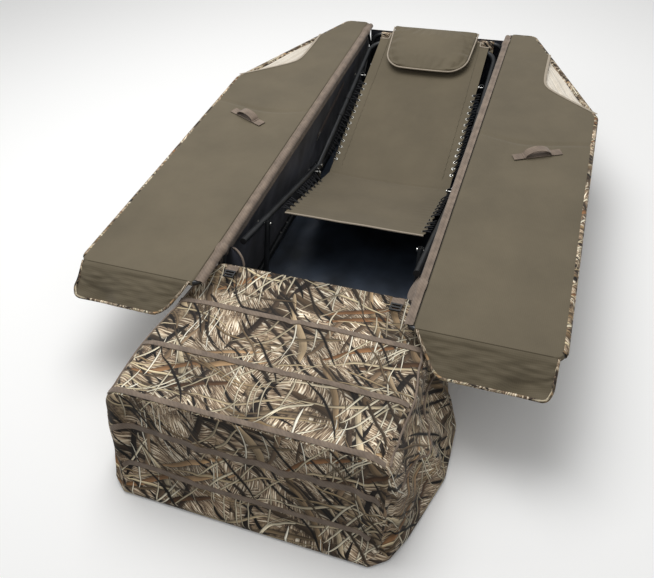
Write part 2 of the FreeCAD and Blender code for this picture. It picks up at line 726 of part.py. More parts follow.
def on_zip(start, end, width, low, high):
    """A block on the right-hand wall: along the zip from start to end, between two heights off it."""
    base = zip_foot + zip_way * start - zip_across * (width / 2) + zip_in * low
    face = polygon_face(
        [
            base,
            base + zip_way * (end - start),
            base + zip_way * (end - start) + zip_across * width,
            base + zip_across * width,
        ]
    )
    return face.extrude(zip_in * (high - low))


gap = val("fit_gap")
zip_length = (zip_head - zip_foot).Length
tape = on_zip(-12, zip_length, val("zip_width"), gap, gap + 1.2)
slider = on_zip(0, 16, 9, 2 * gap + 1.2, 2 * gap + 5.2).fuse(on_zip(-34, 4, 5, 2 * gap + 3.6, 2 * gap + 5.2))
for side in SIDES:
    node(f"{side}_side_wall", feature(f"{side}_wall_cloth", on_side(wall, side)))
    node(f"{side}_wall_binding", feature(f"{side}_binding_web", on_side(trim, side)))
    node(f"{side}_zip_tape", feature(f"{side}_tape_strip", on_side(tape, side)))
    node(f"{side}_zip_slider", feature(f"{side}_slider_block", on_side(slider, side)))

head_wall = doc.addObject("Part::Box", "head_wall_cloth")
head_wall.setExpression("Length", bind("2 * hoop_top_half + 40"))
head_wall.setExpression("Width", bind("cloth"))
head_wall.setExpression("Height", bind("wall_top - 6 - floor_cloth - fit_gap"))
place(head_wall, "-hoop_top_half - 20", "half_length - 7.5", "floor_cloth + fit_gap")
node("head_wall", head_wall)

# A ladder-lock buckle and its webbing at each foot corner of the cockpit hold the open door level.
seat_y = val("cockpit_y - 34")
seat_z = val(f"cockpit_hoop_top + {HOOP_SKIN} + cloth + 1.2")
web_x = val("hoop_top_half - 38")
buckle = block(Vector(web_x - 17, seat_y - 14, seat_z), Vector(web_x + 17, seat_y + 14, seat_z + 5))
for shift in (-9, 2.5):
    buckle = buckle.cut(
        block(Vector(web_x - 13, seat_y + shift, seat_z - 1), Vector(web_x + 13, seat_y + shift + 6.5, seat_z + 6))
    )
flap = block(Vector(web_x - 19, seat_y + 14.5, seat_z), Vector(web_x + 19, seat_y + 40, seat_z + val("strap_web")))
node("strap_buckles", feature("buckle_pair", both_sides(buckle)))
node("corner_flaps", feature("flap_pair", both_sides(flap)))

# ---- chair: crossbars, legs and seat ---------------------------------------------------------

cross_half = "(base_half - base_tube / 2 - 0.3)"
CROSS = {"front": "front_bolt_y - front_leg_run", "rear": "rear_bolt_y + rear_leg_run"}
bars = [
    straight_tube(f"{end}_bar", "leg_tube", f"2 * {cross_half}", f"-{cross_half}", y, "cross_z", ALONG_X)
    for end, y in CROSS.items()
]
node("chair_crossbars", join("Compound", "crossbar_pair", bars))

leg_radius, bolt_radius = val("leg_tube / 2"), val("bolt_radius")
bolt_hole = val("bolt_radius + pin_gap")
for end, y in CROSS.items():
    foot = point("leg_half", y, "cross_z")
    top = point("leg_half", f"{end}_bolt_y", f"{end}_bolt_z")
    way = (top - foot).normalize()
    leg = bar_between(foot, top + way * 9, leg_radius).cut(
        bar_between(foot - way, top + way * 20, val("leg_tube / 2 - tube_wall"))
    )
    crossbar = bar_between(foot - Vector(50, 0, 0), foot + Vector(50, 0, 0), leg_radius + 0.1)
    bolt_bore = bar_between(top - Vector(40, 0, 0), top + Vector(40, 0, 0), bolt_hole)
    node(f"{end}_legs", feature(f"{end}_leg_pair", both_sides(leg.cut([crossbar, bolt_bore]))))

rails = [
    straight_tube(f"{side}_rail", "rail_tube", "seat_rail - rail_start", f"{sign} * chair_half", "-seat_rail", "0", ALONG_Y)
    for side, sign in SIDES.items()
]
rail_holes = [
    rod(f"rail_hole_{i}", radius, "2 * base_half", "-base_half", f"-{along}", "0", ALONG_X)
    for i, (along, radius) in enumerate(
        (("front_bolt", "bolt_radius + pin_gap"), ("rear_bolt", "bolt_radius + pin_gap"), ("42", "2.5 + pin_gap"))
    )
]
node("seat_rails", place_on_seat(cut("drilled_rails", join("Compound", "rail_pair", rails), rail_holes)))

caps = []
for side, sign in SIDES.items():
    lip = rod(f"{side}_cap_lip", "rail_tube / 2", "4", f"{sign} * chair_half", "-seat_rail - 4.2", "0", ALONG_Y)
    plug = rod(
        f"{side}_cap_plug",
        "rail_tube / 2 - tube_wall - 0.1",
        "16",
        f"{sign} * chair_half",
        "-seat_rail - 2",
        "0",
        ALONG_Y,
    )
    caps.append(join("MultiFuse", f"{side}_cap", [lip, plug]))
node("rail_caps", place_on_seat(join("Compound", "cap_pair", caps)))

rail_radius = val("rail_tube / 2")
chair_half = val("chair_half")
plates, pins = [], []
cheek = val("cheek")
for inward in (-1, 1):
    face = chair_half + inward * (rail_radius + gap)
    cheek_plate = block(
        Vector(min(face, face + inward * cheek), -56, -10), Vector(max(face, face + inward * cheek), 14, 10)
    )
    plates.append(cheek_plate)
span = rail_radius + gap + cheek
for along, radius in ((0, val("hip_pin")), (-42, 2.5)):
    way = Vector(chair_half - span - 0.8, along, 0), Vector(chair_half + span + 0.8, along, 0)
    shank = bar_between(way[0], way[1], radius)
    heads = [
        bar_between(way[0] - Vector(2.4, 0, 0), way[0] + Vector(0.4, 0, 0), radius + 3),
        bar_between(way[1] - Vector(0.4, 0, 0), way[1] + Vector(2.4, 0, 0), radius + 3),
    ]
    pins.append(shank.fuse(heads))
    plate_bore = bar_between(way[0] - Vector(9, 0, 0), way[1] + Vector(9, 0, 0), radius + val("pin_gap"))
    plates = [item.cut(plate_bore) for item in plates]
node("hip_plates", place_on_seat(feature("hip_plate_set", both_sides(Part.Compound(plates)))))
node("hip_pins", place_on_seat(feature("hip_pin_set", both_sides(Part.Compound(pins)))))

bolts = []
for end in CROSS:
    centre = point("leg_half", f"{end}_bolt_y", f"{end}_bolt_z")
    inside = Vector(val("leg_half - leg_tube / 2 - 0.4"), centre.y, centre.z)
    outside = Vector(val("chair_half + rail_tube / 2 + 0.4"), centre.y, centre.z)
    bolt = bar_between(inside, outside, bolt_radius)
    nut = bar_between(inside - Vector(3.5, 0, 0), inside, bolt_radius + 2.5)
    head = bar_between(outside, outside + Vector(3, 0, 0), bolt_radius + 3)
    bolts.append(both_sides(bolt.fuse([nut, head])))
node("leg_bolts", feature("leg_bolt_set", Part.Compound(bolts)))


def along_sling(start, end, share):
    return start + (end - start) * share


def sling_set(start, end, first, last, count):
    """A chair cloth with grommets, and the elastic laced from them to the rails, in rail coordinates.

    start and end are the cloth's edges, first and last the places of the end grommets along the rail.
    """
    half, thick = val("sling_half"), val("sling_cloth")
    normal = Vector(0, -(end - start).z, (end - start).y).normalize()
    if normal.z < 0:
        normal = normal * -1
    lift = normal * (thick / 2)
    corner = Vector(-half, start.y, start.z) - lift
    cloth_plate = polygon_face(
        [corner, corner + (end - start), corner + (end - start) + lift * 2, corner + lift * 2]
    ).extrude(Vector(2 * half, 0, 0))
    grommets, laces, holes = [], [], []
    outer, inner = val("grommet_outer"), val("grommet_inner")
    lace = val("lace_radius")
    x = half - val("grommet_inset")
    pitch = (last - first) / (count - 1)
    for i in range(count):
        along = first + pitch * i
        eye = along_sling(start, end, (along - start.y) / (end.y - start.y)) + Vector(x, 0, 0)
        ring = bar_between(eye - normal * 2.2, eye + normal * 2.2, outer)
        grommets.append(ring.cut(bar_between(eye - normal * 3, eye + normal * 3, inner)))
        holes.append(bar_between(eye - normal * 3, eye + normal * 3, outer + 0.1))
        knot = eye + normal * 5
        strands = [bar_between(eye - normal * 3.5, knot, lace), Part.makeSphere(lace, knot)]
        for spread in (-0.28, 0.28):
            tie = Vector(chair_half - rail_radius - 4.5, along + pitch * spread, 0)
            strands.append(bar_between(knot, tie, lace))
        laces.append(strands[0].fuse(strands[1:]))
    cloth_plate = cloth_plate.cut(holes + [mirrored(hole) for hole in holes])
    return cloth_plate, both_sides(Part.Compound(grommets)), both_sides(Part.Compound(laces))


seat_cloth, seat_rings, seat_laces = sling_set(
    point("0", "-seat_front", "-seat_sag_front"),
    point("0", "seat_rear", "-seat_sag_hip"),
    val("-seat_lace_end"),
    val("-seat_lace_start"),
    int(val("seat_grommets")),
)
node("seat_cloth", place_on_seat(feature("seat_sling", seat_cloth)))
node("seat_grommets", place_on_seat(feature("seat_ring_set", seat_rings)))
node("seat_lacing", place_on_seat(feature("seat_lace_set", seat_laces)))

# ---- chair: back, prop and headrest -----------------------------------------------------------

back_bow = bent_tube(
    "back_bow",
    "XY_Plane",
    [
        ("-chair_half", "-back_tail"),
        ("-chair_half", "back_rail"),
        ("chair_half", "back_rail"),
        ("chair_half", "-back_tail"),
    ],
    "back_bend",
    "rail_tube",
)
back_holes = [
    rod(f"back_hole_{i}", radius, "2 * base_half", "-base_half", along, "0", ALONG_X)
    for i, (along, radius) in enumerate((("0", "hip_pin + pin_gap"), ("prop_bolt", "bolt_radius + pin_gap")))
]
node("back_frame", place_on_back(cut("drilled_back", back_bow, back_holes)))

sleeves = []
for i, (side, along) in enumerate((s, a) for s in SIDES for a in ("lower_sleeve", "upper_sleeve")):
    x = f"{SIDES[side]} * chair_half"
    outside = rod(f"sleeve_out_{i}", "rail_tube / 2 + 2", "sleeve_length", x, f"{along}", "0", ALONG_Y)
    inside = rod(f"sleeve_in_{i}", "rail_tube / 2 + pin_gap", "sleeve_length", x, f"{along}", "0", ALONG_Y)
    sleeves.append(cut(f"sleeve_{i}", outside, [inside]))
node("back_sleeves", place_on_back(join("Compound", "sleeve_set", sleeves)))

bow_line = val("rail_tube / 2 + bow_gap + sling_cloth / 2")
back_cloth, back_rings, back_laces = sling_set(
    point("0", "back_low", "-back_sag_hip"),
    Vector(0, val("back_rail + back_over"), bow_line + val("back_flare")),
    val("back_lace_start"),
    val("back_lace_end"),
    int(val("back_grommets")),
)
node("back_cloth", place_on_back(feature("back_sling", back_cloth)))
node("back_grommets", place_on_back(feature("back_ring_set", back_rings)))
node("back_lacing", place_on_back(feature("back_lace_set", back_laces)))

prop = bent_tube(
    "prop_bow",
    "XY_Plane",
    [("-leg_half", "-10"), ("-leg_half", "prop_length"), ("leg_half", "prop_length"), ("leg_half", "-10")],
    "prop_bend",
    "leg_tube",
)
prop_hole = rod("prop_hole", "bolt_radius + pin_gap", "2 * base_half", "-base_half", "0", "0", ALONG_X)
prop_stand = cut("drilled_prop", prop, [prop_hole])
place(
    prop_stand,
    "0",
    "prop_y",
    "prop_z",
    axis=Vector(-1, 0, 0),
    angle="atan2(prop_z - cross_z; prop_run) / 1deg",
)
node("prop_stand", prop_stand)

inside = point("leg_half - leg_tube / 2 - 0.4", "prop_bolt", "0")
outside = point("chair_half + rail_tube / 2 + 0.4", "prop_bolt", "0")
prop_bolt = bar_between(inside, outside, bolt_radius).fuse(
    [
        bar_between(inside - Vector(3.5, 0, 0), inside, bolt_radius + 2.5),
        bar_between(outside, outside + Vector(3, 0, 0), bolt_radius + 3),
    ]
)
node("prop_bolts", place_on_back(feature("prop_bolt_pair", both_sides(prop_bolt))))

pillow = plate(
    "pillow",
    [
        ("-headrest_half", "headrest_low"),
        ("headrest_half", "headrest_low"),
        ("headrest_half", "headrest_high"),
        ("-headrest_half", "headrest_high"),
    ],
    ["headrest_round", "headrest_round", "16", "16"],
    "headrest_thick",
)
place(pillow, "0", "hip_y - headrest_floor * sin(back_angle)", "hip_z + headrest_floor * cos(back_angle)",
      axis=Vector(1, 0, 0), angle="back_angle")
node("headrest_pillow", pillow)

patch = doc.addObject("Part::Box", "patch_strip")
patch.setExpression("Length", "140")
patch.setExpression("Width", "60")
patch.setExpression("Height", bind("patch_thick"))
lift = "(headrest_floor - patch_thick - fit_gap)"
place(
    patch,
    "-70",
    f"hip_y + (headrest_high - 90) * cos(back_angle) - {lift} * sin(back_angle)",
    f"hip_z + (headrest_high - 90) * sin(back_angle) + {lift} * cos(back_angle)",
    axis=Vector(1, 0, 0),
    angle="back_angle",
)
node("headrest_patch", patch)

# ---- doors -----------------------------------------------------------------------------------

DOOR_CORNERS = [
    ("0", "door_foot_y"),
    ("0", "door_head_y"),
    ("door_head_reach", "door_head_y"),
    ("door_reach", "door_shoulder_y"),
    ("door_reach", "door_foot_y"),
]
for side, sign in SIDES.items():
    frame = bent_tube(
        f"{side}_door_loop",
        "XY_Plane",
        [(f"{sign} * (hinge_half + {reach})", y) for reach, y in DOOR_CORNERS],
        "door_bend",
        "door_tube",
        closed=True,
    )
    node(f"{side}_door_frame", place(frame, z="hinge_height"))

loop = rounded_wire(
    [point(f"hinge_half + {reach}", y, "hinge_height") for reach, y in DOOR_CORNERS], [val("door_bend")] * 5
)
door_edge = Part.Face(loop.makeOffset2D(val("door_margin")))
inside_frame = Part.Face(loop.makeOffset2D(-val("door_tube") / 2 - 0.6))
hinge_x, door_z, skin = val("hinge_half"), val("hinge_height"), val("door_skin")


def window_region(inset):
    """The see-through corner: inside its curved edge, out past the door's diagonal edge."""
    head = point("hinge_half + window_side", "window_top_y", "hinge_height") - Vector(inset, 0, 0)
    waist = point("hinge_half + window_waist", "window_waist_y", "hinge_height") - Vector(inset, inset / 3, 0)
    foot = point("hinge_half + window_foot_reach", "door_shoulder_y + 20", "hinge_height") - Vector(0, inset, 0)
    far = Vector(900, 0, 0)
    edges = [
        Part.Arc(head, waist, foot).toShape(),
        Part.LineSegment(foot, Vector(far.x, foot.y, foot.z)).toShape(),
        Part.LineSegment(Vector(far.x, foot.y, foot.z), Vector(far.x, head.y, head.z)).toShape(),
        Part.LineSegment(Vector(far.x, head.y, head.z), head).toShape(),
    ]
    return Part.Face(Part.Wire(edges))


def slab(face, low, high):
    solid = face.extrude(Vector(0, 0, high - low))
    solid.translate(Vector(0, 0, low))
    return solid


tube_top = val("door_tube") / 2 + gap
hinge_strip = block(Vector(0, -1500, door_z - 50), Vector(hinge_x + val("hinge_clear"), 1500, door_z + 50))
opening = slab(window_region(0), -50, 50)
lining = slab(door_edge, tube_top, tube_top + skin).cut([hinge_strip, opening])
cover = slab(door_edge, -tube_top - skin, -tube_top).cut([hinge_strip, opening])
window = slab(window_region(6).common(inside_frame), -0.6, 0.6)

crease = Vector(0, val("door_foot_y - door_margin") - 3, door_z + tube_top + skin)
hang = Vector(0, -val("skirt_reach"), -val("skirt_drop"))
under = hang.cross(Vector(1, 0, 0)).normalize() * 2.5
if under.z > 0:
    under = under * -1
start = Vector(hinge_x + val("skirt_inset"), 0, 0)
end = start + Vector(val("door_reach + door_margin - 2 * skirt_inset"), 0, 0)
slant = Vector(val("skirt_slant"), 0, 0)
skirt = polygon_face([start + crease, start + crease + hang + slant, end + crease + hang, end + crease]).extrude(under)

# Each handle is one length of webbing: two sewn tabs with an open loop between them.
tab_a = Vector(hinge_x + val("handle_inner"), val("handle_foot_y"), door_z + tube_top + skin + gap)
tab_b = Vector(hinge_x + val("handle_outer"), val("handle_head_y"), tab_a.z)
along = (tab_b - tab_a).normalize()
across = Vector(-along.y, along.x, 0)
web, rise, length = val("handle_web"), val("handle_rise"), (tab_b - tab_a).Length
up = Vector(0, 0, 1)
low_a, low_b = tab_a + along * val("handle_tab"), tab_b - along * val("handle_tab")
crown = tab_a + along * (length / 2) + up * rise
handle_edges = [
    Part.LineSegment(tab_a, low_a).toShape(),
    Part.Arc(low_a, crown - up * web, low_b).toShape(),
    Part.LineSegment(low_b, tab_b).toShape(),
    Part.LineSegment(tab_b, tab_b + up * web).toShape(),
    Part.LineSegment(tab_b + up * web, low_b + up * web).toShape(),
    Part.Arc(low_b + up * web, crown, low_a + up * web).toShape(),
    Part.LineSegment(low_a + up * web, tab_a + up * web).toShape(),
    Part.LineSegment(tab_a + up * web, tab_a).toShape(),
]
handle = Part.Face(Part.Wire(handle_edges)).extrude(across * val("handle_width"))
handle.translate(across * (-val("handle_width") / 2))

for side in SIDES:
    for name, shape in (
        ("lining", lining),
        ("cover", cover),
        ("window", window),
        ("skirt", skirt),
        ("handle", handle),
    ):
        node(f"{side}_door_{name}", feature(f"{side}_{name}_piece", on_side(shape, side)))

# ---- check and write ---------------------------------------------------------------------------

doc.recompute()
for obj in doc.Objects:
    if "Invalid" in obj.State or "Error" in obj.State:
        raise RuntimeError(f"{obj.Label} failed to compute: {obj.State}")
for name, obj in NODES.items():
    if obj.Shape.isNull() or not obj.Shape.isValid() or not obj.Shape.Solids:
        raise RuntimeError(f"{name} has no valid solid")
    obj.Shape.exportStep(f"parts/{name}.step")
print(len(NODES), "sub-parts written")
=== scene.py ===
# A layout field blind: a low shelter of cloth on a folding steel frame, open at rest, with a laced
# chair inside. Lengths are metres. +X is its right side seen from the foot, +Y runs to the head.
import math

import bpy
from mathutils import Matrix, Vector, noise


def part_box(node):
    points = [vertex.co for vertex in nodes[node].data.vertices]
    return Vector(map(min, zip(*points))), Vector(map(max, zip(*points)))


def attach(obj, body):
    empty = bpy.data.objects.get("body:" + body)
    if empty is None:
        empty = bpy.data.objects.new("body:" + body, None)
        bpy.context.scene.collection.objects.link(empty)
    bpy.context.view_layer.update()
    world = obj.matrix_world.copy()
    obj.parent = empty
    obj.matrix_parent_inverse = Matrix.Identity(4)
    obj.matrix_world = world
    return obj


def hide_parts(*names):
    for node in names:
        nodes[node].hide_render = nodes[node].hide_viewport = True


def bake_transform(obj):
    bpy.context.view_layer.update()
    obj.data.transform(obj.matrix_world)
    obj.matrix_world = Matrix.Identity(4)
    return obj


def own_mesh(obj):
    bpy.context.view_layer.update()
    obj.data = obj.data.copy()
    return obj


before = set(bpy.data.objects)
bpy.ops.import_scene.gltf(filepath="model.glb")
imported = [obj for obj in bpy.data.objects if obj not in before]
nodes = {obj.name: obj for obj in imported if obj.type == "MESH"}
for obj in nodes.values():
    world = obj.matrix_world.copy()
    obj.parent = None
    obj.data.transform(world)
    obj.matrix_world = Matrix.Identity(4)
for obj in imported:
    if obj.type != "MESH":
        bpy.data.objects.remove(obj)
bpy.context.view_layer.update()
scene = bpy.context.scene

# Studio: a camera above the foot end's right corner, a pale sweep of floor, one broad soft light
# overhead, two weaker ones at the sides and a bright room all round.
lens = bpy.data.cameras.new("studio_camera")
lens.sensor_width = 36
lens.lens = 37.57
camera = bpy.data.objects.new("studio_camera", lens)
scene.collection.objects.link(camera)
camera.matrix_world = (
    Matrix.Translation((0.5987, -1.8619, 1.7221))
    @ Matrix.Rotation(0.394624, 4, "Z")
    @ Matrix.Rotation(math.pi / 2 - 0.780189, 4, "X")
    @ Matrix.Rotation(-0.088344, 4, "Z")
)
scene.camera = camera
scene.view_settings.view_transform = "Standard"


def colour(code):
    """An sRGB hex colour as the linear one that the shaders take."""
    parts = [int(code[i : i + 2], 16) / 255 for i in (1, 3, 5)]
    return [c / 12.92 if c <= 0.04045 else ((c + 0.055) / 1.055) ** 2.4 for c in parts] + [1.0]


def fill(tree, node, sockets):
    """Gives a node's sockets their values or links, by place or by name."""
    for key, value in sockets.items() if isinstance(sockets, dict) else enumerate(sockets):
        if isinstance(value, bpy.types.Node):
            value = value.outputs[0]
        if isinstance(value, bpy.types.NodeSocket):
            tree.links.new(value, node.inputs[key])
        elif value is not None:
            node.inputs[key].default_value = value
    return node


def add(tree, kind, sockets=(), stops=(), **settings):
    """Adds a node with its settings, the stops of its colours from first to last, and its sockets."""
    made = tree.nodes.new("ShaderNode" + kind)
    for name, value in settings.items():
        setattr(made, name, value)
    if stops:
        for end in (0, -1):
            made.color_ramp.elements[end].position = stops[end][0]
            made.color_ramp.elements[end].color = colour(stops[end][1])
        for place, code in stops[1:-1]:
            made.color_ramp.elements.new(place).color = colour(code)
    return fill(tree, made, sockets)


def new_finish(name):
    """A material, its node tree and its shader."""
    material = bpy.data.materials.new(name)
    material.use_nodes = True
    tree = material.node_tree
    return material, tree, tree.nodes["Principled BSDF"]


bpy.ops.object.select_all(action="DESELECT")
bpy.ops.mesh.primitive_plane_add(size=40, location=(0, 0, -0.0008))
floor = bpy.context.object
floor.name = "studio_floor"
# The sweep looks white but throws little light back up, so what faces sideways stays darker.
pale_floor, tree, shader = new_finish("painted_floor")
seen = add(tree, "LightPath").outputs["Is Camera Ray"]
sweep = add(tree, "Mix", {0: seen, 6: colour("#9a9a98"), 7: colour("#fdfdfc")}, data_type="RGBA")
fill(tree, shader, {"Base Color": sweep.outputs[2], "Roughness": 0.9})
floor.data.materials.append(pale_floor)
room = bpy.data.worlds.new("studio_room")
room.use_nodes = True
room.node_tree.nodes["Background"].inputs["Color"].default_value = (1, 1, 1, 1)
room.node_tree.nodes["Background"].inputs["Strength"].default_value = 0.42
scene.world = room
for name, place, size, watts in (
    ("overhead_light", (-0.5, 0.5, 3.4), 2.4, 88),
    ("left_light", (-3.2, -1.0, 2.2), 1.8, 12),
    ("right_light", (2.8, -2.4, 2.4), 1.8, 8),
):
    light = bpy.data.lights.new(name, "AREA")
    light.size = size
    light.energy = watts
    lamp = bpy.data.objects.new(name, light)
    scene.collection.objects.link(lamp)
    lamp.location = place
    lamp.rotation_euler = (Vector((0, 0, 0.2)) - Vector(place)).to_track_quat("-Z", "Y").to_euler()

# Steel frame: base tubes, hoops, chair rails, legs and door frames are bent mild steel, powder
# coated black. The coat is a satin skin with a fine orange peel and a little dust.
powder_coat, tree, shader = new_finish("black_powder_coated_steel")
place = add(tree, "TexCoord").outputs["Object"]
dust = add(tree, "TexNoise", {"Vector": place, "Scale": 14.0, "Detail": 4.0})
tone = add(tree, "ValToRGB", [dust.outputs["Fac"]], stops=((0.4, "#17191b"), (0.75, "#2a2c2f")))
# Orange peel of about 2 mm, drawn twice as coarse as real so that it shows.
peel = add(tree, "TexNoise", {"Vector": place, "Scale": 450.0, "Detail": 2.0})
bump = add(tree, "Bump", {"Strength": 0.12, "Distance": 0.0006, "Height": peel.outputs["Fac"]})
fill(tree, shader, {"Base Color": tone, "Normal": bump, "Roughness": 0.36, "Specular IOR Level": 0.55})


def dress(mesh, material):
    """Gives a mesh that material, all over."""
    mesh.materials.clear()
    mesh.materials.append(material)


def paint(material, *names):
    """Gives these CAD nodes that material."""
    for name in names:
        dress(nodes[name].data, material)


paint(
    powder_coat,
    *("base_frame_foot", "base_frame_head", "cockpit_hoop", "head_hoop", "foot_hoop"),
    *("seat_rails", "back_frame", "left_door_frame", "right_door_frame", "prop_stand"),
    *("front_legs", "rear_legs", "chair_crossbars", "hip_plates", "head_hinge_brackets"),
    *("cockpit_hinge_brackets", "foot_hoop_brackets"),
)

# Bolts, hinge pins, snap buttons and grommets: steel with a bright zinc or nickel plating, slightly
# clouded by handling.
plating, tree, shader = new_finish("zinc_plated_steel")
place = add(tree, "TexCoord").outputs["Object"]
cloud = add(tree, "TexNoise", {"Vector": place, "Scale": 160.0, "Detail": 3.0})
tone = add(tree, "ValToRGB", [cloud.outputs["Fac"]], stops=((0, "#9a9a96"), (1, "#d9d8d2")))
rough = add(tree, "MapRange", {0: cloud.outputs["Fac"], 3: 0.22, 4: 0.42})
fill(tree, shader, {"Base Color": tone, "Roughness": rough, "Metallic": 1.0})
paint(
    plating,
    *("hip_pins", "leg_bolts", "prop_bolts", "foot_hoop_pins", "snap_buttons"),
    *("seat_grommets", "back_grommets", "base_inserts", "left_zip_slider", "right_zip_slider"),
)

# Caps, hoop clamps, tube sleeves and ladder-lock buckles: black moulded nylon, matt, with the fine
# spark texture of its mould.
moulded_nylon, tree, shader = new_finish("black_moulded_nylon")
place = add(tree, "TexCoord").outputs["Object"]
grain = add(tree, "TexNoise", {"Vector": place, "Scale": 900.0, "Detail": 2.0})
tone = add(tree, "ValToRGB", [grain.outputs["Fac"]], stops=((0, "#0e0e10"), (1, "#1f2023")))
bump = add(tree, "Bump", {"Strength": 0.25, "Distance": 0.0004, "Height": grain.outputs["Fac"]})
fill(tree, shader, {"Base Color": tone, "Normal": bump, "Roughness": 0.55})
paint(moulded_nylon, "rail_caps", "hoop_clamps", "back_sleeves", "strap_buckles")

# Lacing: round black bungee, looped between each rail and the cloth's grommets. Its braided sheath
# shows as a fine diagonal rib.
bungee, tree, shader = new_finish("black_braided_bungee")
place = add(tree, "TexCoord").outputs["Object"]
# Braid ribs 1.6 mm apart.
braid = add(
    tree,
    "TexWave",
    {"Vector": place, "Scale": 95.0, "Distortion": 1.0},
    bands_direction="DIAGONAL",
)
tone = add(tree, "ValToRGB", [braid.outputs["Fac"]], stops=((0, "#08080a"), (1, "#222328")))
bump = add(tree, "Bump", {"Strength": 0.5, "Distance": 0.0005, "Height": braid.outputs["Fac"]})
fill(tree, shader, {"Base Color": tone, "Normal": bump, "Roughness": 0.8})
paint(bungee, "seat_lacing", "back_lacing")

# Footbox: one tent of printed polyester over the legs, from the cockpit hoop over the foot hoop to
# the ground. The print is reeds and dry grass: broad leaves, stems, curled blades and seed heads
# lie over each other on a dark, muddy ground.
printed_cloth, tree, shader = new_finish("reed_printed_polyester")
flat = add(tree, "UVMap").outputs[0]
bend = add(tree, "TexNoise", {"Vector": flat, "Scale": 4.0, "Detail": 1.0})
mud = add(tree, "TexNoise", {"Vector": flat, "Scale": 26.0, "Detail": 8.0, "Roughness": 0.7})
MUD = ((0.36, "#1b1611"), (0.46, "#4b3e31"), (0.55, "#86745c"), (0.68, "#a8957a"))
print_colour = add(tree, "ValToRGB", [mud.outputs["Fac"]], stops=MUD).outputs[0]
bent = add(tree, "VectorMath", [bend.outputs["Color"], (0.11, 0.11, 0)], operation="MULTIPLY")
swayed = add(tree, "VectorMath", [flat, bent], operation="ADD")
# Fine dry stalks lie in sheaves, each sheaf its own way: sheaf size and stalk width in mm, how far
# the sheaves turn, share of the ground that they cover.
SHEAVES = ((120, 3.6, 3.1, 0.75), (85, 3.0, 1.6, 0.6), (170, 5.0, 0.9, 0.5))
STALK = ((0.36, "#130f0c"), (0.44, "#483a2e"), (0.51, "#8b7660"), (0.58, "#bfad92"), (0.66, "#ece2cd"))
for sheaf, stalk, spread, cover in SHEAVES:
    moved = add(tree, "VectorMath", [swayed, (sheaf * 0.031, sheaf * 0.017, 0)], operation="ADD")
    bunch = add(tree, "TexVoronoi", {"Vector": moved, "Scale": 1000 / sheaf}, voronoi_dimensions="2D")
    dice = add(tree, "SeparateColor", [bunch.outputs["Color"]])
    way = add(tree, "Math", [dice.outputs["Red"], spread], operation="MULTIPLY")
    turned = add(tree, "VectorRotate", {"Vector": moved, "Angle": way}, rotation_type="Z_AXIS")
    drawn = add(tree, "VectorMath", [turned, (60 / stalk, 1000 / stalk, 1)], operation="MULTIPLY")
    stalks = add(tree, "TexNoise", {"Vector": drawn, "Scale": 1.0, "Detail": 2.0})
    tone = add(tree, "ValToRGB", [stalks.outputs["Fac"]], stops=STALK)
    there = add(tree, "Math", [dice.outputs["Blue"], cover], operation="LESS_THAN")
    gaps = add(tree, "MapRange", {0: stalks.outputs["Fac"], 1: 0.38, 2: 0.44})
    there = add(tree, "Math", [there, gaps], operation="MULTIPLY")
    over = add(tree, "Mix", {0: there, 6: print_colour, 7: tone}, data_type="RGBA")
    print_colour = over.outputs[2]
# Layers from the bottom up: turn, cell length and width in mm, share of the cell's width that the
# leaf fills, how much it bends, how many cells have one, and the colours of its leaves.
REEDS = (
    (0.35, 260, 44, 0.22, 0.10, 0.45, ("#241c16", "#5e4c38", "#9c8360")),
    (1.9, 220, 40, 0.20, 0.14, 0.40, ("#17120f", "#4c3d30", "#8a735a")),
    (1.15, 300, 48, 0.19, 0.08, 0.40, ("#44362a", "#a08767", "#dccbaa")),
    (2.7, 260, 44, 0.19, 0.10, 0.30, ("#2b1f17", "#8d6542", "#c0a078")),
    (0.75, 140, 22, 0.18, 0.30, 0.60, ("#0b0907", "#241c16", "#3e3329")),
    (1.35, 260, 70, 0.17, 0.08, 0.05, ("#1b2a1c", "#3a5a38", "#7c8f55")),
    (2.95, 380, 34, 0.11, 0.16, 0.65, ("#5a4a38", "#b5a07c", "#ece0c4")),
    (0.15, 340, 32, 0.10, 0.20, 0.65, ("#3a2e24", "#927b5b", "#dccba6")),
    (1.5, 150, 18, 0.11, 0.60, 0.50, ("#a8997f", "#dcd1b6", "#f6f0de")),
    (2.3, 190, 24, 0.11, 0.50, 0.50, ("#8c7d66", "#cdc0a2", "#efe7d0")),
    (0.9, 240, 28, 0.10, 0.40, 0.55, ("#100d0a", "#31281e", "#7f6b52")),
)
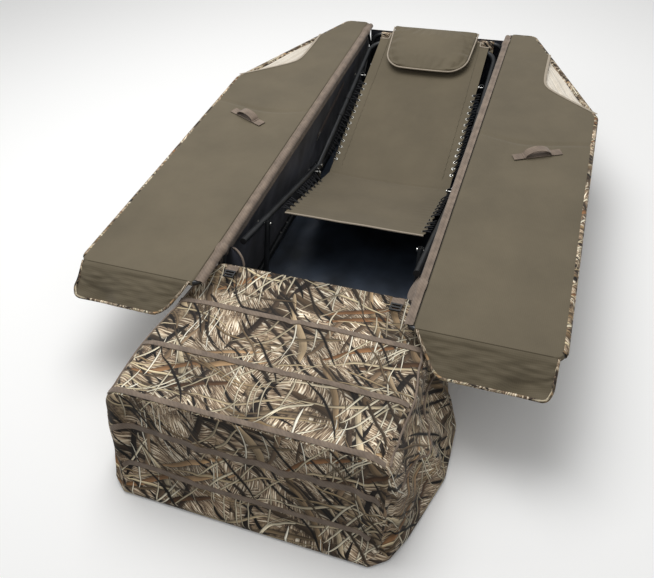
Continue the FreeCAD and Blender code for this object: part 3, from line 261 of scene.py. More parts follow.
for turn, long, wide, body, curl, share, codes in REEDS:
    laid = add(tree, "Mapping", {0: swayed, 2: (0, 0, turn), 1: (turn * 3.1, turn * 1.7, 0)})
    sized = add(tree, "VectorMath", [laid, (1000 / long, 1000 / wide, 1)], operation="MULTIPLY")
    cells = add(tree, "TexVoronoi", {"Vector": sized, "Scale": 1.0}, voronoi_dimensions="2D")
    dice = add(tree, "SeparateColor", [cells.outputs["Color"]])
    local = add(tree, "VectorMath", [sized, cells.outputs["Position"]], operation="SUBTRACT")
    axis = add(tree, "SeparateXYZ", [local])
    # Along the leaf from -1 to 1, and how far it bows sideways there.
    along = add(tree, "Math", [axis.outputs["X"], 2.1], operation="MULTIPLY")
    square = add(tree, "Math", [along, along], operation="MULTIPLY")
    bow = add(tree, "Math", [dice.outputs["Green"], 0.5], operation="SUBTRACT")
    bow = add(tree, "Math", [bow, curl * 2.4], operation="MULTIPLY")
    side = add(tree, "Math", [square, bow, axis.outputs["Y"]], operation="MULTIPLY_ADD")
    taper = add(tree, "Math", [1.0, square], operation="SUBTRACT", use_clamp=True)
    taper = add(tree, "Math", [taper, 0.5], operation="POWER")
    half = add(tree, "Math", [taper, body], operation="MULTIPLY")
    half = add(tree, "Math", [half, 0.001], operation="MAXIMUM")
    ratio = add(tree, "Math", [side, half], operation="DIVIDE")
    reach = add(tree, "Math", [ratio], operation="ABSOLUTE")
    # Leaves stand in clumps: a slow noise over the cells makes them many here and few there.
    clump = add(tree, "TexNoise", {"Vector": cells.outputs["Position"], "Scale": 0.45, "Detail": 1.0})
    crowd = add(tree, "MapRange", {0: clump, 1: 0.40, 2: 0.60, 3: 0.1 * share, 4: 1.25 * share})
    there = add(tree, "Math", [dice.outputs["Blue"], crowd], operation="LESS_THAN")
    leaf = add(tree, "MapRange", {0: reach, 1: 1.06, 2: 0.94})
    leaf = add(tree, "Math", [leaf, there], operation="MULTIPLY")
    shade = add(tree, "MapRange", {0: reach, 1: 2.3, 2: 0.9, 3: 0.0, 4: 0.72})
    shade = add(tree, "Math", [shade, there], operation="MULTIPLY")
    shade = add(tree, "Math", [shade, taper], operation="MULTIPLY")
    under = add(tree, "Mix", {0: shade, 6: print_colour, 7: colour("#100d0a")}, data_type="RGBA")
    tint = add(tree, "ValToRGB", [dice.outputs["Red"]], stops=tuple(zip((0, 0.45, 1), codes)))
    # One side of each leaf is in shade, with dark veins along it.
    lit = add(tree, "MapRange", {0: ratio, 1: -1.0, 2: 1.0, 3: 0.42, 4: 1.2})
    veined = add(tree, "VectorMath", [local, (3.0, 26.0, 1.0)], operation="MULTIPLY")
    veins = add(tree, "TexNoise", {"Vector": veined, "Scale": 1.0, "Detail": 1.0})
    grain = add(tree, "MapRange", {0: veins.outputs["Fac"], 1: 0.3, 2: 0.7, 3: 0.62, 4: 1.12})
    lit = add(tree, "Math", [lit, grain], operation="MULTIPLY")
    leaf_colour = add(tree, "VectorMath", {0: tint.outputs[0], 3: lit}, operation="SCALE")
    over = add(tree, "Mix", {0: leaf, 6: under.outputs[2], 7: leaf_colour}, data_type="RGBA")
    print_colour = over.outputs[2]
patches = add(tree, "TexNoise", {"Vector": flat, "Scale": 8.0, "Detail": 3.0})
patches = add(tree, "MapRange", {0: patches.outputs["Fac"], 1: 0.35, 2: 0.65, 3: 0.80, 4: 1.60})
print_colour = add(tree, "VectorMath", {0: print_colour, 3: patches}, operation="SCALE").outputs[0]
# Basket weave, 0.8 mm threads drawn at 2.5 mm so that they show.
weave = add(tree, "TexVoronoi", {"Vector": flat, "Scale": 420.0, "Randomness": 0.35}, voronoi_dimensions="2D")
slub = add(tree, "TexNoise", {"Vector": flat, "Scale": 60.0, "Detail": 3.0})
height = add(tree, "Math", [weave.outputs["Distance"], 0.4, slub.outputs["Fac"]], operation="MULTIPLY_ADD")
bump = add(tree, "Bump", {"Strength": 0.25, "Distance": 0.0012, "Height": height})
fill(tree, shader, {"Base Color": print_colour, "Normal": bump, "Roughness": 0.78})
fill(tree, shader, {"Sheen Weight": 0.12, "Specular IOR Level": 0.3})

# The lining of the walls and footbox is coated charcoal nylon, slightly blue, thin and limp, with
# a dull shine.
charcoal_nylon, tree, shader = new_finish("coated_charcoal_nylon")
place = add(tree, "TexCoord").outputs["Object"]
cloud = add(tree, "TexNoise", {"Vector": place, "Scale": 7.0, "Detail": 4.0})
tone = add(tree, "ValToRGB", [cloud.outputs["Fac"]], stops=((0.35, "#26272d"), (0.7, "#42444f")))
crush = add(tree, "TexNoise", {"Vector": place, "Scale": 22.0, "Detail": 5.0, "Distortion": 0.6})
bump = add(tree, "Bump", {"Strength": 0.35, "Distance": 0.004, "Height": crush.outputs["Fac"]})
fill(tree, shader, {"Base Color": tone, "Normal": bump, "Roughness": 0.55, "Sheen Weight": 0.1})


def cloth_grid(name, across, along, put, *materials):
    """A sheet of cloth: put(a, b) gives each point's place, a across and b along, from 0 to 1."""
    bpy.ops.object.select_all(action="DESELECT")
    bpy.ops.mesh.primitive_grid_add(x_subdivisions=across, y_subdivisions=along, size=1)
    cloth = bpy.context.object
    cloth.name = name
    for point in cloth.data.vertices:
        point.co = put(point.co.x + 0.5, point.co.y + 0.5)
    for material in materials:
        cloth.data.materials.append(material)
    return cloth


def lay_pattern(cloth):
    """Maps the print in metres, one flat panel for each way that the cloth faces."""
    bpy.context.view_layer.objects.active = cloth
    bpy.ops.object.mode_set(mode="EDIT")
    bpy.ops.mesh.select_all(action="SELECT")
    bpy.ops.uv.cube_project(cube_size=1.0)
    bpy.ops.object.mode_set(mode="OBJECT")


def pick(piece):
    """Selects one piece alone and makes it the active one."""
    bpy.ops.object.select_all(action="DESELECT")
    piece.select_set(True)
    bpy.context.view_layer.objects.active = piece


def shape(piece, kind, **settings):
    """Puts a modifier with these settings on a piece and applies it."""
    made = piece.modifiers.new(kind.lower(), kind)
    for name, value in settings.items():
        setattr(made, name, value)
    pick(piece)
    bpy.ops.object.modifier_apply(modifier=made.name)


def thicken(cloth, thick, outwards=-1.0, inside=0):
    """Gives a sheet its thickness, with the material number that its inner side takes."""
    shape(cloth, "SOLIDIFY", thickness=thick, offset=outwards, material_offset=inside)
    bpy.ops.object.shade_smooth_by_angle(angle=math.radians(50))


def settle(cloth, held, frames, spare=0.0, gravity=0.0, pressure=0.0, cap=0.02):
    """Lets cloth find its own folds: held gives how firmly each point is kept, spare is extra cloth."""
    group = cloth.vertex_groups.new(name="held")
    start = [point.co.copy() for point in cloth.data.vertices]
    for index, share in enumerate(held):
        if share > 0:
            group.add([index], share, "REPLACE")
    cloth_modifier = cloth.modifiers.new("settle", "CLOTH")
    cloth_modifier.settings.quality = 5
    cloth_modifier.settings.mass = 0.25
    cloth_modifier.settings.tension_stiffness = 18
    cloth_modifier.settings.compression_stiffness = 14
    cloth_modifier.settings.shear_stiffness = 6
    cloth_modifier.settings.bending_stiffness = 0.6
    cloth_modifier.settings.vertex_group_mass = "held"
    cloth_modifier.settings.shrink_min = -spare
    cloth_modifier.settings.effector_weights.gravity = gravity
    if pressure:
        cloth_modifier.settings.use_pressure = True
        cloth_modifier.settings.uniform_pressure_force = pressure
    cloth_modifier.collision_settings.use_collision = False
    for step in range(1, frames + 1):
        scene.frame_set(step)
    bpy.context.view_layer.objects.active = cloth
    bpy.ops.object.modifier_apply(modifier=cloth_modifier.name)
    scene.frame_set(1)
    for point, first in zip(cloth.data.vertices, start):
        moved = point.co - first
        if moved.length > cap:
            point.co = first + moved * (cap / moved.length)


# Cross-sections of the footbox from the cockpit to the foot: y, half width at the ground and at
# the top, height and corner radius. Its sides stand out from the hoops, slack and folded.
SECTIONS = (
    (-0.514, 0.3535, 0.332, 0.303, 0.040),
    (-0.600, 0.4485, 0.364, 0.304, 0.050),
    (-0.700, 0.4863, 0.368, 0.306, 0.060),
    (-0.874, 0.4905, 0.376, 0.326, 0.070),
    (-1.074, 0.4345, 0.379, 0.343, 0.060),
    (-1.142, 0.4023, 0.377, 0.158, 0.050),
    (-1.172, 0.3617, 0.341, 0.070, 0.030),
    (-1.175, 0.3550, 0.338, 0.003, 0.001),
)
FOOT_ROWS, FOOT_COLUMNS = 88, 96
reach = [0.0]
for near, far in zip(SECTIONS, SECTIONS[1:]):
    reach.append(reach[-1] + math.hypot(far[0] - near[0], far[3] - near[3]))
ridge_reach = reach[4]
WALL_SHARE, BEND_SHARE = 0.4, 0.12


def wrinkle(x, y, z):
    """A smooth chance value between -1 and 1, the same at every run."""
    return noise.noise(Vector((x, y, z)))


def footbox_point(a, b):
    """A point of the footbox: a goes over it from side to side, b from the foot to the cockpit."""
    way = (1 - b) * reach[-1]
    if way > ridge_reach:
        down = (way - ridge_reach) / (reach[-1] - ridge_reach)
        way += 0.03 * math.sin(math.pi * down) * math.sin(math.pi * a) * (0.6 + 0.8 * a)
        way = min(way, reach[-1])
    i = max(k for k in range(len(reach) - 1) if reach[k] <= way + 1e-9)
    t = (way - reach[i]) / (reach[i + 1] - reach[i])
    y, low, high, top, corner = (p + (q - p) * t for p, q in zip(SECTIONS[i], SECTIONS[i + 1]))
    side = 1 if a > 0.5 else -1
    part = 1 - abs(2 * a - 1)
    corner = min(corner, top * 0.45)
    shoulder = low + (high - low) * (top - corner) / max(top, 0.03)
    if part < WALL_SHARE:
        share = part / WALL_SHARE
        slack = math.sin(math.pi * share) * max(0, low - high) / 0.15 * min(1, top / 0.1)
        fold = 0.010 * math.sin(y * 62 + side + 3 * wrinkle(y * 5, side, share * 2))
        fold += 0.004 * math.sin(y * 150 + 2 * side + 4 * share)
        x = low + (shoulder - low) * share + slack * (0.016 + fold)
        return Vector((side * x, y, 0.003 + share * (top - 0.003 - corner)))
    if part < WALL_SHARE + BEND_SHARE:
        t = (part - WALL_SHARE) / BEND_SHARE
        x = (1 - t) ** 2 * shoulder + 2 * t * (1 - t) * high + t * t * (high - corner)
        return Vector((side * x, y, top - corner * (1 - t) ** 2))
    share = (1 - part) / (1 - WALL_SHARE - BEND_SHARE)
    return Vector((side * (high - corner) * share, y, top))


footbox = cloth_grid(
    "footbox_cloth", FOOT_COLUMNS, FOOT_ROWS, footbox_point, printed_cloth, charcoal_nylon
)
lay_pattern(footbox)
shape(footbox, "SMOOTH", factor=0.5, iterations=3)
# Straps of tan webbing are sewn across the footbox. Reach is measured from the cockpit over the
# top and down the front.
STRAP_REACH = (0.165, 0.361, 0.552, 0.660, 0.790)
STRAP_HALF = 0.008
columns = FOOT_COLUMNS + 1
rows = len(footbox.data.vertices) // columns
row_reach = [(1 - row / (rows - 1)) * reach[-1] for row in range(rows)]
ways = footbox.data.attributes.new("reach", "FLOAT", "POINT")
overs = footbox.data.attributes.new("over", "FLOAT", "POINT")
held = []
for index, point in enumerate(footbox.data.vertices):
    way = row_reach[index // columns]
    ways.data[index].value = way
    overs.data[index].value = 1 - abs(2 * (index % columns) / (columns - 1) - 1)
    strap = any(abs(way - strap_way) < STRAP_HALF for strap_way in STRAP_REACH[:3])
    edge = way < 0.004 or point.co.z < 0.02 or abs(way - ridge_reach) < 0.012
    held.append(1.0 if edge else 0.3 if strap else 0.0)
settle(footbox, held, 24, spare=0.016, gravity=0.3, cap=0.03)
for index, point in enumerate(footbox.data.vertices):
    loose = 1 - held[index]
    ripple = noise.noise(point.co * 9) * 0.003 + noise.noise(point.co * 24 + Vector((5, 0, 0))) * 0.0015
    point.co += Vector((ripple, ripple * 0.5, ripple)) * loose
shape(footbox, "SUBSURF", levels=1, render_levels=1)

# Webbing is woven tan polypropylene with a rib every 2 mm, drawn at 3 mm so that it shows; it has
# soiled a little.
webbing, tree, shader = new_finish("tan_ribbed_webbing")
flat = add(tree, "TexCoord").outputs["Object"]
soil = add(tree, "TexNoise", {"Vector": flat, "Scale": 30.0, "Detail": 5.0})
tone = add(tree, "ValToRGB", [soil.outputs["Fac"]], stops=((0.3, "#6a5c50"), (0.75, "#8d7c6c")))
ribs = {"Vector": flat, "Scale": 52.0, "Distortion": 0.6, "Detail": 1.0}
rib = add(tree, "TexWave", ribs, bands_direction="DIAGONAL")
shade = add(tree, "MapRange", {0: rib.outputs["Fac"], 3: 0.9, 4: 1.04})
woven = add(tree, "VectorMath", {0: tone.outputs[0], 3: shade}, operation="SCALE")
bump = add(tree, "Bump", {"Strength": 0.25, "Distance": 0.0006, "Height": rib.outputs["Fac"]})
fill(tree, shader, {"Base Color": woven, "Normal": bump, "Roughness": 0.85, "Sheen Weight": 0.25})


def take_faces(source, name, keep):
    """A new piece made of copies of the source's faces that keep(face) picks."""
    copy = source.copy()
    copy.data = source.data.copy()
    copy.name = name
    scene.collection.objects.link(copy)
    pick(copy)
    scene.tool_settings.mesh_select_mode = (False, False, True)
    bpy.ops.object.mode_set(mode="EDIT")
    bpy.ops.mesh.select_all(action="DESELECT")
    bpy.ops.object.mode_set(mode="OBJECT")
    for face in copy.data.polygons:
        face.select = not keep(face)
    bpy.ops.object.mode_set(mode="EDIT")
    bpy.ops.mesh.delete(type="FACE")
    bpy.ops.object.mode_set(mode="OBJECT")
    return copy


def piping(name, points, radius, material):
    """A round cord of cloth through these points, made a mesh."""
    line = bpy.data.curves.new(name, "CURVE")
    line.dimensions = "3D"
    spline = line.splines.new("NURBS")
    spline.points.add(len(points) - 1)
    for knot, point in zip(spline.points, points):
        knot.co = (*point, 1)
    spline.order_u = 3
    spline.use_endpoint_u = True
    spline.resolution_u = 4
    line.bevel_depth = radius
    line.bevel_resolution = 2
    line.use_fill_caps = True
    made = bpy.data.objects.new(name, line)
    scene.collection.objects.link(made)
    pick(made)
    bpy.ops.object.convert(target="MESH")
    made = bpy.context.object
    bpy.ops.object.shade_smooth()
    dress(made.data, material)
    return made


ways = [item.value for item in footbox.data.attributes["reach"].data]
overs = [item.value for item in footbox.data.attributes["over"].data]


def under_strap(face):
    """Each strap ends at the seams along the top panel."""
    way = sum(ways[i] for i in face.vertices) / len(face.vertices)
    over = sum(overs[i] for i in face.vertices) / len(face.vertices)
    return over > 0.45 and any(abs(way - strap_way) < STRAP_HALF for strap_way in STRAP_REACH)


straps = take_faces(footbox, "footbox_webbing", under_strap)
dress(straps.data, webbing)
# Both have their placing baked into their meshes while they are one layer, before they are thickened.
for piece in (footbox, straps):
    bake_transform(piece)
thicken(straps, 0.003, 1.0)
thicken(footbox, 0.002, -1.0, 1)
# Two seams on each side are bound with narrow tape: one along the top panel, one lower and curved.
SEAMS = (
    (
        *((0.328, -0.522, 0.298), (0.350, -0.63, 0.298), (0.368, -0.71, 0.296), (0.386, -0.80, 0.298)),
        *((0.392, -0.90, 0.302), (0.392, -0.99, 0.312), (0.386, -1.062, 0.318)),
    ),
    (
        *((0.420, -0.69, 0.215), (0.430, -0.80, 0.200), (0.440, -0.85, 0.160)),
        *((0.440, -0.91, 0.152), (0.427, -0.975, 0.180), (0.410, -1.05, 0.205)),
    ),
)
SIDES = (("left", -1), ("right", 1))
seams = []
for side, out in SIDES:
    for number, corners in enumerate(SEAMS, 1):
        points = []
        for near, far in zip(corners, corners[1:]):
            for step in range(8):
                spot = Vector(near).lerp(Vector(far), step / 8)
                found = footbox.closest_point_on_mesh(Vector((out * (spot.x + 0.01), spot.y, spot.z)))
                points.append(found[1] + found[2] * 0.0012)
        seams.append(piping(f"{side}_footbox_seam_{number}", points, 0.0030, webbing))
for seam in seams:
    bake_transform(seam)
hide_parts("footbox_shell")
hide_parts("footbox_straps")

# Floor: a rug of coated polyester, bluish black, sewn to the walls and lying loose on the ground
# with low soft rumples.
coated_polyester, tree, shader = new_finish("coated_floor_polyester")
place = add(tree, "TexCoord").outputs["Object"]
cloud = add(tree, "TexNoise", {"Vector": place, "Scale": 5.0, "Detail": 3.0})
tone = add(tree, "ValToRGB", [cloud.outputs["Fac"]], stops=((0.35, "#23282f"), (0.7, "#434d5c")))
rumple = add(tree, "TexNoise", {"Vector": place, "Scale": 30.0, "Detail": 4.0})
bump = add(tree, "Bump", {"Strength": 0.2, "Distance": 0.003, "Height": rumple.outputs["Fac"]})
fill(tree, shader, {"Base Color": tone, "Normal": bump, "Roughness": 0.42})


RUG_FOOT, RUG_LONG, CROSSBARS = -1.170, 2.338, (-0.364, 0.247, 0.9346)


def floor_point(a, b):
    """A point of the rug, which widens to the footbox and rumples where nothing stands on it."""
    y = RUG_FOOT + b * RUG_LONG
    widen = min(max((-0.55 - y) / 0.55, 0), 1)
    half = 0.3505 + 0.029 * widen - 0.03 * max(0, (-1.14 - y) / 0.03)
    x = half * (2 * a - 1)
    free = min(max((0.29 - abs(x)) / 0.08, 0), 1)
    for bar in CROSSBARS:
        free *= min(1, abs(y - bar) / 0.06)
    rise = max(0, wrinkle(x * 4, y * 3, 0)) * 0.018 + wrinkle(x * 14, y * 11, 4) * 0.003
    return Vector((x, y, 0.002 + max(0, rise) * free))


rug = cloth_grid("floor_rug", 70, 220, floor_point, coated_polyester)
thicken(rug, 0.0018)
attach(rug, "blind")
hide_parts("floor_cloth")

# Side walls: printed cloth outside and charcoal nylon inside, held from the ground to the hinge
# line. They hang a little loose between the hoops, and each has a zipped vent by the shoulder.
WALL_FOOT, WALL_HEAD, WALL_TOP = -0.510, 1.166, 0.311
ZIP_START, ZIP_END = Vector((0, 0.416, 0.1745)), Vector((0, 0.762, 0.2370))


def wall_x(z):
    """The right wall's inner face leans in from the ground to the hinge line."""
    return 0.3475 - 0.025 * (z - 0.0023) / 0.3087


def zip_distance(y, z):
    """How far a place on the wall is from the zip's middle line."""
    run = ZIP_END - ZIP_START
    share = min(max((Vector((0, y, z)) - ZIP_START).dot(run) / run.length_squared, 0), 1)
    return (Vector((0, y, z)) - ZIP_START - run * share).length


def wall_point(a, b):
    y = WALL_FOOT + a * (WALL_HEAD - WALL_FOOT)
    z = 0.004 + b * (WALL_TOP - 0.004)
    free = math.sin(math.pi * b) * min(1, zip_distance(y, z) / 0.03) * min(1, 6 * a, 6 * (1 - a))
    sway = wrinkle(y * 5 + z * 3, z * 7, 0) * 0.010 + wrinkle(y * 16 - z * 9, z * 12, 3) * 0.004
    return Vector((wall_x(z) + 0.003 + sway * free, y, z))


def other_side(piece, name):
    """A mirrored copy with its own mesh, for the blind's left side."""
    twin = piece.copy()
    twin.data = piece.data.copy()
    twin.name = name
    scene.collection.objects.link(twin)
    twin.data.transform(Matrix.Scale(-1, 4, (1, 0, 0)))
    twin.data.flip_normals()
    return twin


def fix_pair(right_piece, node):
    """Mirrors a right piece and fixes both to the blind, each in place of its side's CAD node."""
    left_piece = other_side(right_piece, right_piece.name.replace("right", "left"))
    for piece, side in ((right_piece, "right"), (left_piece, "left")):
        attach(piece, "blind")
        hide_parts(f"{side}_{node}")
    return right_piece, left_piece


right_wall = cloth_grid("right_wall_cloth", 200, 36, wall_point, printed_cloth, charcoal_nylon)
lay_pattern(right_wall)
thicken(right_wall, 0.0018, -1.0, 1)
for piece in fix_pair(right_wall, "side_wall"):
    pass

# Wall bindings: bias tape in the same tan as the webbing, folded over each wall's top edge and
# sewn through.
def binding_point(a, b):
    """Up the wall's inner face, over its edge and a little down outside; b runs to the head."""
    y = -0.506 + b * 1.662
    round_edge = ((0, 0.2795), (0.45, 0.300), (0.80, 0.3118), (0.88, 0.3126), (1.0, 0.3060))
    z = 0
    for (share, height), (next_share, next_height) in zip(round_edge, round_edge[1:]):
        if share <= a <= next_share:
            z = height + (next_height - height) * (a - share) / (next_share - share)
    out = -0.0016 if a < 0.8 else -0.0016 + 0.0065 * (a - 0.8) / 0.2
    wave = wrinkle(y * 18, a * 2, 7) * 0.0012
    return Vector((wall_x(min(z, 0.311)) + out + wave, y, z))


right_binding = cloth_grid("right_wall_tape", 10, 260, binding_point, webbing)
thicken(right_binding, 0.0012, 1.0)
fix_pair(right_binding, "wall_binding")

# Zips: a coil zip on a grey woven tape, sewn into the wall's inner face on a slant. Its coil is a
# row of nylon turns 1.6 mm apart, drawn twice as coarse.
zip_nylon, tree, shader = new_finish("grey_nylon_zip")
place = add(tree, "TexCoord").outputs["Object"]
turns = add(tree, "TexWave", {"Vector": place, "Scale": 95.0}, bands_direction="Y")
tone = add(tree, "ValToRGB", [turns.outputs["Fac"]], stops=((0, "#2f2a2a"), (1, "#6d625c")))
bump = add(tree, "Bump", {"Strength": 0.4, "Distance": 0.001, "Height": turns.outputs["Fac"]})
fill(tree, shader, {"Base Color": tone, "Normal": bump, "Roughness": 0.6})


def zip_point(a, b):
    run = (ZIP_END - ZIP_START).normalized()
    up = Vector((0, -run.z, run.y))
    spot = ZIP_START + (ZIP_END - ZIP_START) * b + up * (0.012 - 0.024 * a)
    ridge = max(0, 1 - abs(a - 0.5) / 0.12) * 0.0014
    return Vector((wall_x(spot.z) - 0.0008 - ridge, spot.y, spot.z))


right_zip = cloth_grid("right_zip_strip", 24, 120, zip_point, zip_nylon)
thicken(right_zip, 0.0012, -1.0)
fix_pair(right_zip, "zip_tape")

# Head wall: the same printed cloth closes the head end, and a sleeve of it wraps the head hoop's
# bow and hangs inside as a narrow flap.
def head_wall_point(a, b):
    x, z = 0.32 - 0.64 * a, 0.004 + 0.300 * b
    sway = wrinkle(x * 7, z * 9, 2) * 0.006 * math.sin(math.pi * b)
    return Vector((x * (1 + 0.02 * (1 - b)), 1.1702 + sway * math.sin(math.pi * a), z))


head_wall = cloth_grid("head_wall_cloth", 80, 36, head_wall_point, printed_cloth, charcoal_nylon)
lay_pattern(head_wall)
thicken(head_wall, 0.0018, -1.0, 1)


def sleeve_point(a, b):
    """Round the hoop's bow from outside over its top and down inside; b runs across the blind."""
    x = 0.262 - 0.524 * b
    turn = math.radians(-60 + 240 * min(a / 0.55, 1))
    hang = max(0, (a - 0.55) / 0.45) * 0.036
    y = 1.1528 + 0.0125 * math.cos(turn) - hang * 0.3
    z = 0.2905 + 0.0125 * math.sin(turn) - hang
    return Vector((x, y, z + wrinkle(x * 20, a * 3, 9) * 0.002 * min(1, hang * 60)))


sleeve = cloth_grid("head_hoop_sleeve", 30, 90, sleeve_point, printed_cloth)
lay_pattern(sleeve)
thicken(sleeve, 0.0014, 1.0)
for piece in (head_wall, sleeve):
    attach(piece, "blind")
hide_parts("head_wall")

# Khaki cloth on the chair and inside the doors: heavy polyester oxford in olive drab, a plain
# weave with a soft sheen, tonally uneven from handling.
khaki_oxford, tree, shader = new_finish("khaki_polyester_oxford")
place = add(tree, "TexCoord").outputs["Object"]
cloud = add(tree, "TexNoise", {"Vector": place, "Scale": 3.5, "Detail": 5.0, "Roughness": 0.6})
tone = add(tree, "ValToRGB", [cloud.outputs["Fac"]], stops=((0.3, "#5c5341"), (0.72, "#6b614d")))
# Threads 0.9 mm apart, drawn at 2.4 mm so that they show.
thread = {"Vector": place, "Scale": 66.0, "Distortion": 1.2, "Detail": 2.0}
warp = add(tree, "TexWave", thread, bands_direction="X")
weft = add(tree, "TexWave", thread, bands_direction="Y")
threads = add(tree, "Math", [warp.outputs["Fac"], weft.outputs["Fac"]], operation="ADD")
shade = add(tree, "MapRange", {0: threads, 1: 0.0, 2: 2.0, 3: 0.93, 4: 1.05})
woven = add(tree, "VectorMath", {0: tone.outputs[0], 3: shade}, operation="SCALE")
crease = add(tree, "TexNoise", {"Vector": place, "Scale": 11.0, "Detail": 3.0, "Distortion": 0.8})
height = add(tree, "Math", [crease.outputs["Fac"], 6.0, threads], operation="MULTIPLY_ADD")
bump = add(tree, "Bump", {"Strength": 0.16, "Distance": 0.0009, "Height": height})
fill(tree, shader, {"Base Color": woven, "Normal": bump, "Roughness": 0.72})
fill(tree, shader, {"Sheen Weight": 0.15, "Specular IOR Level": 0.35})

# Chair cloth: one sling from the seat's front edge through the hips to the headrest. It is laced
# to the rails, so its long edges scallop out to each grommet, and it dips a little in the middle.
SEAT_FRONT, SEAT_HIP = Vector((0, -0.149, 0.2316)), Vector((0, 0.2988, 0.0926))
BACK_HIP, BACK_TOP = Vector((0, 0.3142, 0.0920)), Vector((0, 1.1122, 0.3122))
seat_length = (SEAT_HIP - SEAT_FRONT).length
back_length = (BACK_TOP - BACK_HIP).length
hip_length = (BACK_HIP - SEAT_HIP).length
sling_length = seat_length + hip_length + back_length
NOTCH_LONG = 0.030
SEAT_LACES = [-0.127 + (0.1934 - 0.0065 + 0.127) * i / 9 for i in range(10)]
BACK_LACES = [0.3752 + (0.7973 - 0.3752) * i / 13 for i in range(14)]


def sling_line(way):
    """The cloth's middle line at that distance from the seat's front edge."""
    if way < seat_length:
        return SEAT_FRONT.lerp(SEAT_HIP, way / seat_length)
    if way < seat_length + hip_length:
        return SEAT_HIP.lerp(BACK_HIP, (way - seat_length) / hip_length)
    return BACK_HIP.lerp(BACK_TOP, (way - seat_length - hip_length) / back_length)


def sling_point(a, b):
    """A point of the sling: a goes across it, b from the seat's front edge to the head."""
    way = b * sling_length
    steps = (-0.012, 0, 0.012)
    spot = sum((sling_line(min(max(way + step, 0), sling_length)) for step in steps), Vector()) / 3
    if way < 0.012 or way > sling_length - 0.012:
        spot = sling_line(way)
    laces = SEAT_LACES if spot.y < 0.3 else BACK_LACES
    nearest = min(abs(spot.y - lace) for lace in laces)
    pull = 0.0045 * min(1, nearest / 0.015) if laces[0] - 0.02 < spot.y < laces[-1] + 0.02 else 0.004
    half = 0.2515 - pull
    if way > sling_length - NOTCH_LONG:
        half = 0.207
    x = half * (2 * a - 1)
    flat = 1 - (x / 0.25) ** 2
    ends = min(1, way / 0.10, (sling_length - way) / 0.25)
    crumple = wrinkle(x * 9, way * 7, 0) * 0.0016 + wrinkle(x * 30, way * 26, 5) * 0.0004
    laced = laces[0] < spot.y < laces[-1]
    gather = math.sin(way * 240) * 0.0012 * max(0, abs(2 * a - 1) - 0.62) * laced
    dip = 0.006 * flat * max(ends, 0)
    # The cloth sags into the hip, and a sharper crease lies just before it.
    dip += 0.004 * flat * math.exp(-(((way - 0.49) / 0.05) ** 2))
    dip += 0.004 * math.exp(-(((way - 0.477) / 0.007) ** 2))
    return Vector((x, spot.y, spot.z + 0.0012 - dip + crumple * flat + gather))


sling = cloth_grid("chair_sling", 80, 330, sling_point, khaki_oxford)
thicken(sling, 0.0024)
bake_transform(sling)
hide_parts("seat_cloth", "back_cloth")

# The seat's front edge and the two cut-out corners at the head end are bound with a light tape.
light_tape, tree, shader = new_finish("light_bias_tape")
place = add(tree, "TexCoord").outputs["Object"]
grain = add(tree, "TexNoise", {"Vector": place, "Scale": 260.0, "Detail": 3.0})
tone = add(tree, "ValToRGB", [grain.outputs["Fac"]], stops=((0, "#8b7f70"), (1, "#b8ac99")))
bump = add(tree, "Bump", {"Strength": 0.3, "Distance": 0.0006, "Height": grain.outputs["Fac"]})
fill(tree, shader, {"Base Color": tone, "Normal": bump, "Roughness": 0.85, "Sheen Weight": 0.2})

front_edge = [sling_point(i / 40, 0.0) + Vector((0, -0.0006, -0.001)) for i in range(41)]
seat_piping = piping("seat_edge_piping", front_edge, 0.0034, light_tape)
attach(seat_piping, "blind")
# The notch's line from the side edge to the head edge: distance out, then along and up from its corner.
NOTCH = (
    *((0.249, -0.001, 0), (0.235, 0, 0), (0.220, 0.001, 0), (0.209, 0.002, 0.0005)),
    *((0.2075, 0.012, 0.003), (0.2075, 0.029, 0.008)),
)
notch_corner = sling_line(sling_length - NOTCH_LONG) + Vector((0, 0, 0.002))
for side, out in SIDES:
    points = [notch_corner + Vector((out * x, along, up)) for x, along, up in NOTCH]
    corner = piping(f"{side}_notch_piping", points, 0.003, light_tape)
    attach(corner, "chair_back")

# The back's side hems are 40 mm wide, each with a line of raised stitching.
for side, out in SIDES:
    along = [0.40 + 0.575 * i / 80 for i in range(81)]
    points = [sling_point(0.5 + out * 0.420, b) + Vector((0, 0, 0.0006)) for b in along]
    hem_seam = piping(f"{side}_back_seam", points, 0.0013, khaki_oxford)
    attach(hem_seam, "chair_back")

# Headrest: a small pillow of the same khaki with a straight head edge and round lower corners. It
# is stuffed loosely, so it crowns, and its side seams gather into short creases.
BACK_WAY = (BACK_TOP - BACK_HIP).normalized()
BACK_UP = Vector((0, -BACK_WAY.z, BACK_WAY.y))
PILLOW_MIDDLE = Vector((0, 1.0060, 0.3107))
PILLOW_LOW, PILLOW_HIGH, ROUND_FROM, ROUND_HALF = -0.126, 0.130, -0.036, 0.088


def pillow_place(u, v, w):
    """A place across, along and up from the pillow's middle, square to the back."""
    return PILLOW_MIDDLE + Vector((u, 0, 0)) + BACK_WAY * v + BACK_UP * w


def pillow_half(v):
    """Half the pillow's width at v along it: full at its head edge, round at its lower corners."""
    if v < ROUND_FROM:
        drop = (ROUND_FROM - v) / 0.09
        return ROUND_HALF + 0.09 * math.sqrt(max(0, 1 - drop * drop))
    return 0.178 + 0.010 * (v - ROUND_FROM) / 0.165


def pillow_point(a, b):
    v = PILLOW_LOW + (PILLOW_HIGH - PILLOW_LOW) * b
    return pillow_place(pillow_half(v) * (2 * a - 1), v, 0.007)


